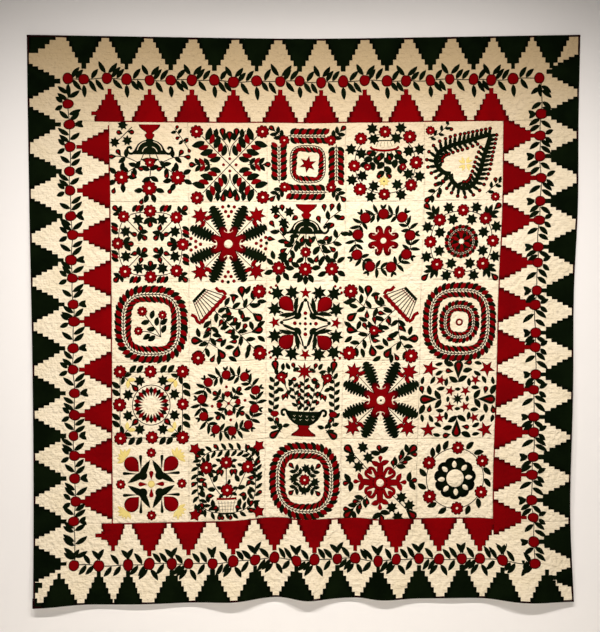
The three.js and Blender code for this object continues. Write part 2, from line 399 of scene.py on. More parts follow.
@dataclass
class ThinSheet:
    """A closed sheet of cloth on the hung surface: a fine side, a coarse side and the rim between.

    Args:
        name: Name of the piece.
        across: Place across of each fine line, at each fine line down, as a grid.
        down: Place down at the same points.
        fine: Lift of the fine side at the same points.
        plain: Lift of the coarse side.
        behind: True where the fine side is the back.
    """

    name: str
    across: Array
    down: Array
    fine: Array
    plain: float
    behind: bool = False
    step: int = 4

    def build(self) -> bpy.types.Object:
        """Make the mesh, with a map in plan metres and a map for baking."""
        rows, columns = self.across.shape
        pick = (slice(None, None, self.step), slice(None, None, self.step))
        coarse_a, coarse_d = self.across[pick], self.down[pick]
        coarse_rows, coarse_columns = coarse_a.shape
        fine_points = SHEET.place(self.across, self.down, self.fine).reshape(-1, 3)
        plain_points = SHEET.place(coarse_a, coarse_d, self.plain).reshape(-1, 3)
        count = rows * columns
        fine_faces = grid_faces(columns, rows)
        plain_faces = grid_faces(coarse_columns, coarse_rows)[:, ::-1] + count
        loop = rim_of(columns, rows)
        far = rim_of(coarse_columns, coarse_rows) + count
        spans = np.arange(len(far))[:, None] * self.step + np.arange(self.step, -1, -1)
        edges = np.concatenate([loop[spans % len(loop)], far[:, None], np.roll(far, -1)[:, None]], axis=1)
        faces = [fine_faces, plain_faces, edges]
        grids = ((self.across, self.down), (coarse_a, coarse_d))
        shares = np.concatenate([np.stack([a.ravel(), d.ravel()], axis=1) for a, d in grids])
        plan = shares * (SHEET.width * MM, -SHEET.drop * MM)
        low, high = shares.min(axis=0), shares.max(axis=0)
        unit = (shares - low) / (high - low)
        unit[:, 1] = 1 - unit[:, 1]
        rim_u = (np.arange(len(far))[:, None] + np.linspace(1, 0, self.step + 1)) / len(far)
        rim_map = np.zeros((len(far), self.step + 3, 2))
        rim_map[:, : self.step + 1, 0] = rim_u
        rim_map[:, self.step + 1, 0] = rim_u[:, -1]
        rim_map[:, self.step + 2, 0] = rim_u[:, 0]
        rim_map[:, self.step + 1 :, 1] = 1.0
        bake = [
            unit[fine_faces] * (0.98, 0.86) + (0.01, 0.13),
            unit[plain_faces] * (0.98, 0.06) + (0.01, 0.05), rim_map * (0.98, 0.03) + (0.01, 0.01),
        ]
        if self.behind:
            faces = [f[:, ::-1] for f in faces]
            bake = [b[:, ::-1] for b in bake]
        maps = {"Cloth": [plan[f] for f in faces], "OFBake": bake}
        return make_mesh(self.name, np.concatenate([fine_points, plain_points]), faces, maps, {})


@dataclass
class PatchBook:
    """Patches of one cloth on one part of the quilt, gathered into one mesh."""

    name: str
    cloth: Cloth
    shares: list = field(default_factory=list)
    lifts: list = field(default_factory=list)
    rims: list = field(default_factory=list)
    tints: list = field(default_factory=list)
    quads: list = field(default_factory=list)
    fans: list = field(default_factory=list)
    count: int = 0

    def add(
        self, shares: Array, lifts: Array, rims: Array, tint: float, quads: Array, fans: Array,
    ) -> None:
        """Add a patch: places, lifts over the ground, 0 at its edge to 1, a tint and its faces."""
        self.shares.append(shares)
        self.lifts.append(lifts)
        self.rims.append(rims)
        self.tints.append(np.full(len(lifts), tint))
        self.quads.append(quads + self.count)
        self.fans.append(fans + self.count)
        self.count += len(lifts)

    def build(self) -> bpy.types.Object:
        """Make the mesh, laid over the quilted face."""
        shares = np.concatenate(self.shares)
        across, down = shares[:, 0], shares[:, 1]
        lift = RELIEF.face(across, down) + np.concatenate(self.lifts)
        points = SHEET.place(across, down, lift)
        plan = shares * (SHEET.width * MM, -SHEET.drop * MM)
        low, high = plan.min(axis=0), plan.max(axis=0)
        bake = (plan - low) / (high - low) * 0.98 + 0.01
        faces = [f for f in (np.concatenate(self.quads), np.concatenate(self.fans)) if len(f)]
        maps = {"Cloth": [plan[f] for f in faces], "OFBake": [bake[f] for f in faces]}
        values = {"rim": np.concatenate(self.rims), "tint": np.concatenate(self.tints)}
        return make_mesh(self.name, points, faces, maps, values)


def heading(turn: float) -> Array:
    """Return the direction of a turn in degrees, counted from the right."""
    return np.array([math.cos(math.radians(turn)), math.sin(math.radians(turn))])


def curve_through(knots: list, count: int) -> Array:
    """Return evenly counted points of a smooth curve through a list of knots."""
    rows = np.array([(i, *knot) for i, knot in enumerate(knots)], dtype=float)
    at = np.linspace(0, len(knots) - 1, count)
    return np.stack([read_curve(rows, 1, at), read_curve(rows, 2, at)], axis=1)


def ring_path(half_x: float, half_y: float, square: float = 2.0) -> Array:
    """Return a closed oval, rounder at 2 and squarer at 4, that starts and ends at its right."""
    a = np.linspace(0, TAU, RING_POINTS)
    c, s = np.cos(a), np.sin(a)
    x = half_x * np.sign(c) * np.abs(c) ** (2 / square)
    y = half_y * np.sign(s) * np.abs(s) ** (2 / square)
    return np.stack([x, y], axis=1)


def even_steps(path: Array, spacing: float) -> tuple[Array, Array]:
    """Return points at even steps along a path, and the heading of the path there in degrees."""
    lengths = np.concatenate([[0], np.cumsum(np.linalg.norm(np.diff(path, axis=0), axis=1))])
    count = max(2, round(lengths[-1] / spacing))
    at = (np.arange(count) + 0.5) * lengths[-1] / count
    spot = [np.stack([np.interp(a, lengths, path[:, k]) for k in (0, 1)], axis=1) for a in (at, at + 2)]
    ahead = spot[1] - spot[0]
    return spot[0], np.degrees(np.arctan2(ahead[:, 1], ahead[:, 0]))


@dataclass
class Canvas:
    """Draws patches in the millimetres of a plan and adds them to the book of their cloth."""

    plan: BlockPlan | BorderPlan
    books: dict
    rng: np.random.Generator
    # Lift of an edge, cloth turned under, half width at a sharp end, width of a stem
    tuck: float = 0.25
    turn_under: float = 1.2
    sharp: float = 0.4
    thread_width: float = 3.8
    # Degrees by which the leaves of a row lean away from its stem
    row_lean: float = 52.0

    def sew(
        self, cloth: Cloth, points: Array, lifts: Array, rims: Array, quads: Array, fans: Array,
    ) -> None:
        """Add one patch, its faces turned to the viewer."""
        turn = -1 if self.plan.mirrored else 1
        tint = self.rng.random()
        shares = self.plan.shares(points)
        self.books[cloth].add(shares, lifts, rims, tint, quads[:, ::turn], fans[:, ::turn])

    def ribbon(self, cloth: Cloth, path: Array, half: Array, layer: float, inner: int = 3) -> None:
        """Sew a strip along a path, its edges and ends turned under and its middle a little full.

        Args:
            cloth: The cloth.
            path: Points of its middle line.
            half: Half of its width at each of them.
            layer: How far it lies over the ground.
            inner: How many lines run along it between its edges.
        """
        along = np.gradient(path, axis=0)
        along = along / np.linalg.norm(along, axis=1)[:, None]
        side = np.stack([-along[:, 1], along[:, 0]], axis=1)
        inset = np.minimum(self.turn_under, 0.35 * half)
        lines = np.linspace(-1, 1, inner) if inner > 1 else np.zeros(1)
        reach = np.concatenate([-half[:, None], lines * (half - inset)[:, None], half[:, None]], axis=1)
        points = path[:, None] + side[:, None] * reach[..., None]
        lifts = np.full(reach.shape, self.tuck)
        lifts[1:-1, 1:-1] = layer + 0.3 * (1 - lines**2)
        rims = 1 - np.abs(reach) / half[:, None]
        rims[[0, -1]] = 0.0
        quads = grid_faces(inner + 2, len(path))
        self.sew(cloth, points.reshape(-1, 2), lifts.ravel(), rims.ravel(), quads, np.zeros((0, 3), int))

    def rosette(self, cloth: Cloth, centre: tuple, radii: Array, turn: float, layer: float) -> None:
        """Sew a patch whose edge is given by its radii at even turns round a centre.

        Args:
            cloth: The cloth.
            centre: Where the radii start.
            radii: Distance of the edge at each turn, counted from the right.
            turn: By how much the patch is turned, in degrees.
            layer: How far it lies over the ground.
        """
        count = len(radii)
        angles = math.radians(turn) + TAU * np.arange(count) / count
        unit = np.stack([np.cos(angles), np.sin(angles)], axis=1)
        inner = radii - np.minimum(self.turn_under, 0.3 * radii)
        reach = np.stack([radii, inner, 0.5 * inner])
        points = np.concatenate([(reach[..., None] * unit).reshape(-1, 2), np.zeros((1, 2))]) + centre
        lifts = np.repeat([self.tuck, layer, layer + 0.25, layer + 0.35], [count, count, count, 1])
        rims = np.concatenate([(1 - reach / radii).ravel(), [1.0]])
        i = np.arange(count)
        j = (i + 1) % count
        outer = np.stack([i, j, count + j, count + i], axis=1)
        quads = np.concatenate([outer, outer + count])
        fans = np.stack([2 * count + i, 2 * count + j, np.full(count, 3 * count)], axis=1)
        self.sew(cloth, points, lifts, rims, quads, fans)

    def strip(self, cloth: Cloth, path: Array, width: float, layer: float) -> None:
        """Sew a strip of one width along a path."""
        self.ribbon(cloth, path, np.full(len(path), width / 2), layer, inner=1)

    def band(self, cloth: Cloth, knots: list, width: float, layer: float) -> None:
        """Sew a strip of a cloth through knots on a layer."""
        self.strip(cloth, curve_through(knots, 6 * len(knots)), width, layer)

    def stem(self, knots: list, width: float = 3.8) -> None:
        """Sew a thin green strip through knots."""
        self.band(GREEN, knots, width, 0.5)

    def thread(self, path: Array) -> None:
        """Sew a thin green strip along a path."""
        self.strip(GREEN, path, self.thread_width, 0.5)

    def leaf(
        self, base: tuple, turn: float, length: float, width: float, cloth: Cloth = GREEN,
        bend: float = 0.06, layer: float = 0.9,
    ) -> None:
        """Sew a leaf that points from its base along a turn: widest before its middle, both ends sharp."""
        t = np.linspace(0, 1, 9)
        ahead = heading(turn)
        off = np.array([-ahead[1], ahead[0]])
        arch = (4 * bend * length * t * (1 - t))[:, None] * off
        path = np.asarray(base) + (1.08 * length * t)[:, None] * ahead + arch
        half = np.maximum(0.74 * width * np.sin(math.pi * t**0.9) ** 0.72, self.sharp)
        self.ribbon(cloth, path, half, layer)

    def point(self, base: tuple, turn: float, length: float, width: float, cloth: Cloth) -> None:
        """Sew a narrow kite with straight edges, widest a third of its length from its base."""
        t = np.linspace(0, 1, 10)
        half = np.maximum(0.5 * width * np.minimum(3 * t, 1.5 * (1 - t)), self.sharp)
        path = np.asarray(base) + (length * t)[:, None] * heading(turn)
        self.ribbon(cloth, path, half, 1.0)

    def drop(
        self, base: tuple, turn: float, length: float, width: float, cloth: Cloth, layer: float = 1.0
    ) -> None:
        """Sew a drop: two straight edges from its sharp base that run on round a circle at its far end."""
        radius = width / 2
        centre = max(length - radius, 1.1 * radius)
        along = (centre + radius) * (0.5 - 0.5 * np.cos(np.linspace(0, math.pi, 13)))
        edges = along * radius / math.sqrt(centre**2 - radius**2)
        round_end = np.sqrt(np.maximum(radius**2 - (along - centre) ** 2, 0))
        half = np.where(along < centre - radius**2 / centre, edges, round_end)
        path = np.asarray(base) + along[:, None] * heading(turn)
        self.ribbon(cloth, path, np.maximum(half, self.sharp), layer)

    def bud(self, base: tuple, turn: float, length: float, width: float) -> None:
        """Sew a red bud in its green cup."""
        self.drop(base, turn, 1.1 * length, 1.16 * width, GREEN)
        core = np.asarray(base) + 0.4 * length * heading(turn)
        self.drop(core, turn, 0.58 * length, 0.6 * width, RED, 1.6)

    def rose(self, centre: tuple, radius: float, turn: float = 0.0, lobes: int = 9) -> None:
        """Sew a rose: a scalloped red round with a cream middle."""
        at = np.arange(8 * lobes) / (8 * lobes)
        radii = radius * (0.8 + 0.2 * np.abs(np.cos(math.pi * lobes * at)) ** 0.55)
        self.rosette(RED, centre, radii, turn, 1.2)
        self.disc(CREAM, centre, 0.2 * radius, 1.9)

    def disc(self, cloth: Cloth, centre: tuple, radius: float, layer: float = 1.2) -> None:
        """Sew a small round."""
        self.rosette(cloth, centre, np.full(20, radius), 0.0, layer)

    def star(
        self, centre: tuple, radius: float, points: int, waist: float, turn: float, cloth: Cloth = RED
    ) -> None:
        """Sew a star with straight edges from its points to its waist."""
        far, near = radius, waist * radius
        count = 6
        u = np.arange(count) / count
        gap = math.pi / points
        edge = far * near * math.sin(gap) / (far * np.sin(u * gap) + near * np.sin((1 - u) * gap))
        spoke = np.concatenate([edge, [near], edge[:0:-1]])
        self.rosette(cloth, centre, np.tile(spoke, points), turn, 1.2)

    def fruit(self, centre: tuple, width: float, height: float, turn: float, dent: float) -> None:
        """Sew a fruit: an oval with a dent at its crown."""
        a = TAU * np.arange(28) / 28
        radii = 1 / np.hypot(2 * np.cos(a) / width, 2 * np.sin(a) / height)
        off = (a - math.pi / 2 + math.pi) % TAU - math.pi
        self.rosette(RED, centre, radii * (1 - dent * np.exp(-((off / 0.4) ** 2))), turn, 1.3)

    def heart(self, centre: tuple, size: float, turn: float) -> None:
        """Sew a heart that points away from its turn."""
        a = TAU * np.arange(32) / 32
        off = np.abs((a + math.pi) % TAU - math.pi)
        tip = 0.45 * np.exp(-(((math.pi - off) / 0.33) ** 2))
        radii = size / 2 * (0.62 + 0.5 * np.sin(0.75 * off + 0.12) + tip)
        self.rosette(RED, centre, 0.8 * radii, turn, 1.3)

    def fern(self, base: tuple, turn: float, length: float, width: float, teeth: int) -> None:
        """Sew a fern: cut in rounded teeth, narrow at its foot, widest two thirds along it and blunt."""
        t = np.linspace(0, 1, 6 * teeth + 1)
        envelope = np.interp(t, (0, 0.25, 0.62, 0.85, 1), (0.55, 0.85, 1.0, 0.8, 0.3))
        lobes = np.abs(np.sin(math.pi * np.linspace(0, teeth, len(t)))) ** 0.6
        half = np.maximum(width / 2 * envelope * (0.5 + 0.5 * lobes), 0.6)
        path = np.asarray(base) + (length * t)[:, None] * heading(turn)
        self.ribbon(GREEN, path, half, 0.9, inner=5)

    def leafy_stem(
        self, knots: list, spacing: float, length: float, width: float, lean: float = 46.0
    ) -> None:
        """Sew a stem through knots with leaves on it in turn left and right."""
        self.stem(knots)
        for i, (spot, turn) in enumerate(zip(*even_steps(curve_through(knots, 33), 0.56 * spacing))):
            hand = 1 if i % 2 else -1
            self.leaf(spot, turn + hand * lean, length, width, bend=0.05 * hand)

    def double_row(
        self, path: Array, spacing: float, length: float, width: float, inside: int = 0,
        hands: tuple = HANDS,
    ) -> None:
        """Sew a stem with stalks that end in red and green leaves in turn.

        Args:
            path: Points of the stem.
            spacing: From stalk to stalk.
            length: Length of a leaf.
            width: Its width.
            inside: On a ring, the hand its middle is on, where leaves are narrower by its share of the ring.
            hands: 1 for leaves on the left of the stem, -1 on its right.
        """
        self.thread(path)
        narrow = 1 - 0.75 * length / np.abs(path).max()
        for i, (spot, turn) in enumerate(zip(*even_steps(path, spacing))):
            for hand in hands:
                broad = width * (narrow if hand == inside else 1.15)
                angle = turn + hand * self.row_lean
                start = spot + 0.2 * length * heading(angle)
                self.stem([spot, start + 4 * heading(angle)], 3.4)
                if i % 2:
                    self.leaf(start, angle, length, broad, RED, 0.04 * hand, 1.3)
                else:
                    self.leaf(start, angle - 3 * hand, 1.14 * length, 1.08 * broad, bend=0.05 * hand)

    def wreath_leaves(self, path: Array, spacing: float, length: float, width: float) -> None:
        """Sew a thin ring with single leaves that lean along it, in turn out and in."""
        self.thread(path)
        for i, (spot, turn) in enumerate(zip(*even_steps(path, spacing))):
            hand = 1 if i % 2 else -1
            self.leaf(spot, turn + hand * self.row_lean, length, width, bend=0.06 * hand)


@dataclass(frozen=True)
class Edging:
    """Stepped pyramids along one side: where they stand, on the outer edge or on the seam."""

    side: Side
    cloth: Cloth
    places: tuple


EDGINGS = (
    Edging(Side.TOP, GREEN, (-988, -796, -597, -401, -211, -18, 178, 375, 570, 764, 942, 1115)),
    Edging(Side.LEFT, GREEN, (190, 385, 596, 797, 995, 1194, 1391, 1593, 1785, 1976, 2168, 2357)),
    Edging(Side.RIGHT, GREEN, (147, 337, 527, 729, 935, 1131, 1321, 1508, 1698, 1877, 2070, 2256)),
    Edging(Side.FOOT, GREEN, (-1095, -920, -788, -592, -408, -217, -32, 152, 334, 519, 711, 891, 1089)),
    Edging(Side.TOP, RED, (-692, -502, -315, -105, 79, 275, 461, 657, 844)),
    Edging(Side.LEFT, RED, (486, 682, 882, 1076, 1271, 1487, 1691, 1874, 2079)),
    Edging(Side.RIGHT, RED, (435, 625, 815, 1006, 1196, 1386, 1577, 1767, 1957, 2148)),
    Edging(Side.FOOT, RED, (-693, -517, -315, -131, 49, 232, 416, 609, 792)),
)


@dataclass
class BorderArt:
    """The sewn-on cloth of the borders: stepped edgings, a running vine with fruit and the frame line."""

    books: dict
    rng: np.random.Generator
    step_widths: tuple = (158.0, 133.0, 108.0, 82.0, 54.0, 20.0)
    step_height: float = 24.6
    stub_height: float = 26.0
    frame_width: float = 6.0
    # Length and width of a leaf, then width, height and dent of a fruit
    leaf: tuple = (56.0, 14.8)
    fruit: tuple = (47.0, 56.0, 0.14)
    vine_width: float = 4.0
    vine_points: int = 220
    # How far in the vine runs, its start and end, the way it grows and its fruit away from the tips
    vine: tuple = (
        (Side.TOP, 193.0, -1060.0, 1067.0, 1, ((-1060, True), (-884, False), (1060, True))),
        (Side.RIGHT, 170.0, 196.0, 2353.0, 1, ((2353, True),)),
        (Side.FOOT, 176.0, -1030.0, 1040.0, -1, ((-1030, True),)),
        (Side.LEFT, 185.0, 200.0, 2350.0, -1, ((293, False),)),
    )

    def pyramid(self, canvas: Canvas, cloth: Cloth, along: float, widths: list, height: float) -> None:
        """Sew one stepped pyramid that stands on the base line of its plan.

        Its half width is constant along each step, and the next step starts 1 mm past its end.
        """
        reach, half = [-1.0], [widths[0] / 2]
        for i, width in enumerate(widths):
            start = max(i * height + 0.5, 0.2)
            end = (i + 1) * height - 0.5
            reach.extend(np.linspace(start, end, 4))
            half.extend([width / 2] * 4)
        reach.append(len(widths) * height + 0.7)
        half.append(widths[-1] / 2)
        path = np.stack([np.full(len(reach), along), np.array(reach)], axis=1)
        canvas.ribbon(cloth, path, np.array(half), 1.4, inner=17)

    def sew_edging(self, edging: Edging) -> None:
        """Sew a side's pyramids, each a little uneven and narrower where they stand close."""
        plan = BorderPlan(edging.side, edging.cloth is RED)
        canvas = Canvas(plan, self.books, self.rng)
        places = np.array(edging.places, dtype=float)
        room = np.minimum(np.diff(places, prepend=-9e3), np.diff(places, append=9e3))
        for along, space in zip(places, room):
            widths = [w + self.rng.normal(0, 2) for w in self.step_widths]
            ease = min(1.0, (space - 5) / widths[0])
            widths = [w * ease for w in widths[:-1]] + widths[-1:]
            self.pyramid(canvas, edging.cloth, along, widths, self.step_height)

    def sew_corners(self) -> None:
        """Sew the corners of both edgings: stepped strips, small pyramids and red stubs."""
        strips = (
            (Side.TOP, -1236.0, ((121, 20), (94, 20), (74, 20), (43, 20))),
            (Side.FOOT, -1214.0, ((44, 24), (22, 20))), (Side.LEFT, 2440.0, ((46, 22), (24, 18))),
        )
        for side, start, rows in strips:
            canvas = Canvas(BorderPlan(side), self.books, self.rng)
            reach = 0.0
            for width, height in rows:
                stations = np.array([0.0, 1.2, height - 0.5, height + 0.7]) + reach
                path = np.stack([np.full(4, start + width / 2), stations], axis=1)
                canvas.ribbon(GREEN, path, np.full(4, width / 2), 0.7, inner=9)
                reach += height
        pyramids = (
            (Side.RIGHT, GREEN, 2418, [86, 72, 52, 20], self.step_height),
            (Side.TOP, RED, -872, [136, 122, 100, 74, 42, 18], self.step_height),
            (Side.FOOT, RED, -856, [104, 92, 72, 46, 18], self.step_height),
            (Side.LEFT, RED, 335, [60, 40, 18], self.stub_height),
            (Side.LEFT, RED, 2232, [60, 40, 18], self.stub_height),
        )
        for side, cloth, along, widths, height in pyramids:
            canvas = Canvas(BorderPlan(side, cloth is RED), self.books, self.rng)
            self.pyramid(canvas, cloth, along, widths, height)

    def sew_frame(self) -> None:
        """Sew the thin red line along the seam round the blocks."""
        spans = (
            (Side.TOP, -872.0, 902.0), (Side.FOOT, -852.0, 862.0), (Side.LEFT, 388.0, 2190.0),
            (Side.RIGHT, 388.0, 2190.0),
        )
        for side, start, end in spans:
            canvas = Canvas(BorderPlan(side, True), self.books, self.rng)
            along = np.linspace(start, end, 180)
            path = np.stack([along, np.full(len(along), self.frame_width / 2 - 1)], axis=1)
            canvas.strip(RED, path, self.frame_width, 1.0)

    def sew_fruit(self, canvas: Canvas, along: float, reach: float, way: int, inner: bool) -> None:
        """Sew a fruit with a pair of leaves above it or a single leaf below it.

        Args:
            canvas: The side's canvas.
            along: Where the fruit hangs.
            reach: How far in the vine runs there.
            way: 1 or -1, the way in which the vine grows.
            inner: True where a single leaf lies on the side of the blocks.
        """
        length, width = self.leaf
        hand = 1 if inner else -1
        jolt = self.rng.normal(0, 1, 5)
        level = canvas.plan.side in (Side.TOP, Side.FOOT)
        for lean in (0,) if inner and canvas.plan.side is Side.TOP else (-1, 1):
            turn = hand * 90 + lean * (36 + 3 * jolt[0]) - 5 * hand * way
            base = (along + 6 * lean, reach + hand * 24)
            size = length * (0.96 if level else 0.68) * (1 + 0.05 * jolt[1])
            canvas.leaf(base, turn, size, width, bend=-0.05 * lean * hand)
        tilt = 9 * jolt[4] + (0 if inner else 180)
        wide, tall, dent = self.fruit
        canvas.fruit((along, reach), wide + 2.5 * jolt[2], tall + 2.5 * jolt[3], tilt, dent)

    def sew_vine(self, side: Side, reach: float, start: float, end: float, way: int, extra: tuple) -> None:
        """Sew a side's vine with a fruit at each stepped tip and pairs of leaves between fruits.

        Args:
            side: The side that the vine runs along.
            reach: How far in from the edge it runs.
            start: Where it starts along the side.
            end: Where it ends.
            way: 1 or -1, the way in which it grows.
            extra: Places of fruit away from the tips, each with True where its leaf faces the blocks.
        """
        canvas = Canvas(BorderPlan(side), self.books, self.rng)
        rows = [(p, e.cloth is GREEN) for e in EDGINGS if e.side is side for p in e.places]
        rows = sorted([r for r in rows if start + 40 < r[0] < end - 40] + list(extra))
        along = np.linspace(start, end, self.vine_points)
        sway = reach + 3 * np.sin(along / 61) + 2 * np.sin(along / 27)
        canvas.strip(GREEN, np.stack([along, sway], axis=1), self.vine_width, 1.1)
        length, width = self.leaf
        for place, inner in rows:
            self.sew_fruit(canvas, place, float(np.interp(place, along, sway)), way, inner)
        stops = np.array([start, *(place for place, _ in rows), end])
        paired = [False, *(not inner for _, inner in rows), False]
        for k, (first, gap) in enumerate(zip(stops, np.diff(stops))):
            count = max(round(gap / (98 if 0 < k < len(rows) else 66)), 1) if gap > 60 else 0
            crowded = paired[k + 1] if way > 0 else paired[k]
            offsets = ((-1, 0.32), (1, 0.23), (1, 0.52)) if crowded else ((-1, 0.23), (-1, 0.52), (1, 0.32))
            for i in range(count):
                for hand, offset in offsets:
                    share = (i + offset + self.rng.normal(0, 0.02)) / count
                    middle = float(first + gap * (share if way > 0 else 1 - share))
                    turn = hand * (55 + self.rng.normal(0, 4))
                    base = (middle, float(np.interp(middle, along, sway)) + hand * 2)
                    size = length * self.rng.uniform(0.86, 1.06)
                    canvas.leaf(base, turn if way > 0 else 180 - turn, size, width, bend=0.05 * hand * way)

    def sew(self) -> None:
        """Sew everything on the borders."""
        for edging in EDGINGS:
            self.sew_edging(edging)
        self.sew_corners()
        self.sew_frame()
        for row in self.vine:
            self.sew_vine(*row)


# Hands of each corner, and with them the turn of its diagonal
CORNERS = ((1, 1), (-1, 1), (-1, -1), (1, -1))
DIAGONALS = ((1, 1, 45.0), (-1, 1, 135.0), (-1, -1, -135.0), (1, -1, -45.0))


class BlockArt(Canvas):
    """The sewn-on cloth of one block, drawn in millimetres from its middle."""

    def roses(self, places: tuple, radius: float) -> None:
        """Sew roses, each turned its own way."""
        for place in places:
            self.rose(place, radius * self.rng.normal(1, 0.03), self.rng.uniform(0, 40))

    def star_leaves(self, places: tuple, radius: float = 24.0) -> None:
        """Sew dark seven-pointed leaves, each turned its own way."""
        for place in places:
            self.star(place, 1.2 * radius, 7, 0.6, self.rng.uniform(0, 51), GREEN)

    def round_rose(self, centre: tuple, start: float, turns: tuple, length: float = 38.0) -> None:
        """Sew leaves that stand out from under a rose at some turns."""
        for turn in turns:
            self.leaf(np.asarray(centre) + start * heading(turn), turn, length, 0.42 * length)

    def sprig(self, base: tuple, turn: float, length: float, leaf: float) -> None:
        """Sew a straight sprig with one or two pairs of leaves, by its length, and a bud at its tip."""
        base = np.asarray(base, dtype=float)
        tip = base + length * heading(turn)
        self.stem([base, tip])
        for share in (0.2, 0.68) if length > 1.25 * leaf else (0.4,):
            for hand in HANDS:
                spot = base + share * length * heading(turn)
                self.leaf(spot, turn + 50 * hand, leaf, 0.4 * leaf, bend=0.04 * hand)
        self.bud(tip - 2 * heading(turn), turn, 1.05 * leaf, 0.64 * leaf)

    def in_corners(self, places: tuple) -> tuple:
        """Return places given for the upper right corner in each of the corners."""
        return tuple((sx * x, sy * y) for sx, sy in CORNERS for x, y in places)

    def facing(self, turn: float, sx: int, sy: int) -> float:
        """Return a turn given for the upper right corner as it is in another corner."""
        return sy * (turn if sx > 0 else 180 - turn)

    def scatter(self, leaves: tuple, buds: tuple, size: tuple, sx: int = 1, sy: int = 1) -> None:
        """Sew leaves and buds at listed places.

        Args:
            leaves: Where each leaf starts and its turn.
            buds: Where each bud starts and its turn.
            size: Length and width of a leaf.
            sx: -1 to mirror the places left to right.
            sy: -1 to mirror them top to bottom.
        """
        for x, y, turn in leaves:
            self.leaf((x * sx, y * sy), self.facing(turn, sx, sy), *size)
        for x, y, turn in buds:
            self.bud((x * sx, y * sy), self.facing(turn, sx, sy), 0.9 * size[0], 1.4 * size[1])

    def profile(self, cloth: Cloth, rows: tuple, layer: float, middle: float = 0.0) -> None:
        """Sew an upright patch from rows of height and half width."""
        table = np.array([(i, *row) for i, row in enumerate(rows)], dtype=float)
        at = np.linspace(0, len(rows) - 1, 4 * len(rows))
        height = np.interp(at, table[:, 0], table[:, 1])
        half = np.interp(at, table[:, 0], table[:, 2])
        path = np.stack([np.full(len(at), middle), height], axis=1)
        self.ribbon(cloth, path, half, layer, inner=11)

    def urn(self) -> None:
        """Sew an urn on its rim: a red foot at the top, a green bowl, scrolls and cream lines."""
        top, rim = 172, 41
        foot = ((0, 48), (10, 47), (22, 36), (34, 18), (40, 13), (45, 22), (54, 22), (62, 15), (68, 14))
        bowl = ((64, 12), (70, 16), (78, 38), (90, 54), (104, 62), (118, 70), (130, 82), (136, 84))
        self.profile(RED, tuple((top - h, w) for h, w in foot), 0.9)
        self.profile(GREEN, tuple((top - h, w) for h, w in bowl), 1.0)
        for hand in HANDS:
            knots = [(60, -8), (84, 2), (98, -8), (99, -24), (86, -27), (82, -18)]
            self.band(GREEN, [(hand * x, rim - y) for x, y in knots], 11, 1.1)
            for reach, lift in ((50, 5), (27, 3)):
                sweep = [reach * heading(turn) + (6, lift) for turn in (8, 30, 55, 80)]
                self.band(CREAM, [(hand * x, rim + y) for x, y in sweep], 7.5, 1.6)

    def star_sprig(self, x: float, y: float) -> None:
        """Sew three star leaves and two buds on a slanting stem."""
        self.stem([(x + 34, y + 34), (x - 34, y - 34)])
        self.star_leaves(((x - 8, y + 42), (x - 44, y - 36), (x + 12, y - 28)), 21)
        self.bud((x - 8, y + 2), 160, 27, 20)
        self.bud((x + 14, y + 12), -5, 27, 20)

    def spray_cross(self) -> None:
        """Sew two crossed stems with green and red leaves, corner roses and buds on the axes."""
        for sx, sy, arm in DIAGONALS:
            self.stem([(0, 0), (60 * sx, 62 * sy), (122 * sx, 128 * sy)])
            for distance, cloth, size, lean in (
                (52, GREEN, 50, 60), (75, RED, 44, 62), (101, GREEN, 58, 64), (128, RED, 46, 62),
                (153, GREEN, 58, 64),
            ):
                for hand in HANDS:
                    spot = distance * heading(arm) + 4 * heading(arm + 90 * hand)
                    self.leaf(spot, arm + lean * hand, size, 0.36 * size, cloth, 0.07 * hand)
            self.rose((147 * sx, 150 * sy), 31, 20)
        for turn in (90, 270):
            for lean in HANDS:
                knots = ((40, 0), (90, 8), (172, 25))
                self.stem([far * heading(turn + off * lean) for far, off in knots])
            self.bud(96 * heading(turn), turn, 52, 29)
            for hand in HANDS:
                self.bud(118 * heading(turn + 14 * hand), turn + 4 * hand, 48, 25)
                self.leaf(136 * heading(turn + 26 * hand), turn - 4 * hand, 40, 16)
                self.leaf(112 * heading(turn + 12 * hand), turn - 10 * hand, 34, 15)
        for turn in (0, 180):
            ahead = heading(turn)
            self.stem([80 * ahead, 150 * ahead])
            self.bud(146 * ahead, turn, 34, 23)
            for distance, cloth in ((90, GREEN), (112, RED), (132, GREEN)):
                for hand in HANDS:
                    self.leaf(distance * ahead, turn + 52 * hand, 36, 14, cloth)
        for turn in QUARTERS:
            self.disc(RED, 28 * heading(turn), 7)

    def star_rows(self) -> None:
        """Sew a red star in a squared leaf ring, with four straight double rows and corner roses."""
        self.star((0, 0), 40, 6, 0.45, 80)
        self.double_row(ring_path(79, 85, 3.2)[::-1], 14, 31, 13.5, -1, (-1,))
        for turn in QUARTERS:
            ahead, side = heading(turn), heading(turn + 90)
            self.double_row(np.linspace(128 * ahead + 88 * side, 128 * ahead - 80 * side, 30), 16, 33, 12.5)
        for sx, sy, arm in DIAGONALS:
            self.sprig((112 * sx, 114 * sy), arm, 46, 33)
            self.rose((104 * sx, 107 * sy), 25, 10)

    def rose_ring(self, roses: tuple, stars: tuple, radius: float, square: float = 2.2) -> None:
        """Sew a ring of roses on a thin stem with star leaves between them."""
        reach = max(abs(x) for x, _ in roses) - 4
        self.thread(ring_path(reach, reach, square))
        self.star_leaves(stars)
        self.roses(roses, radius)

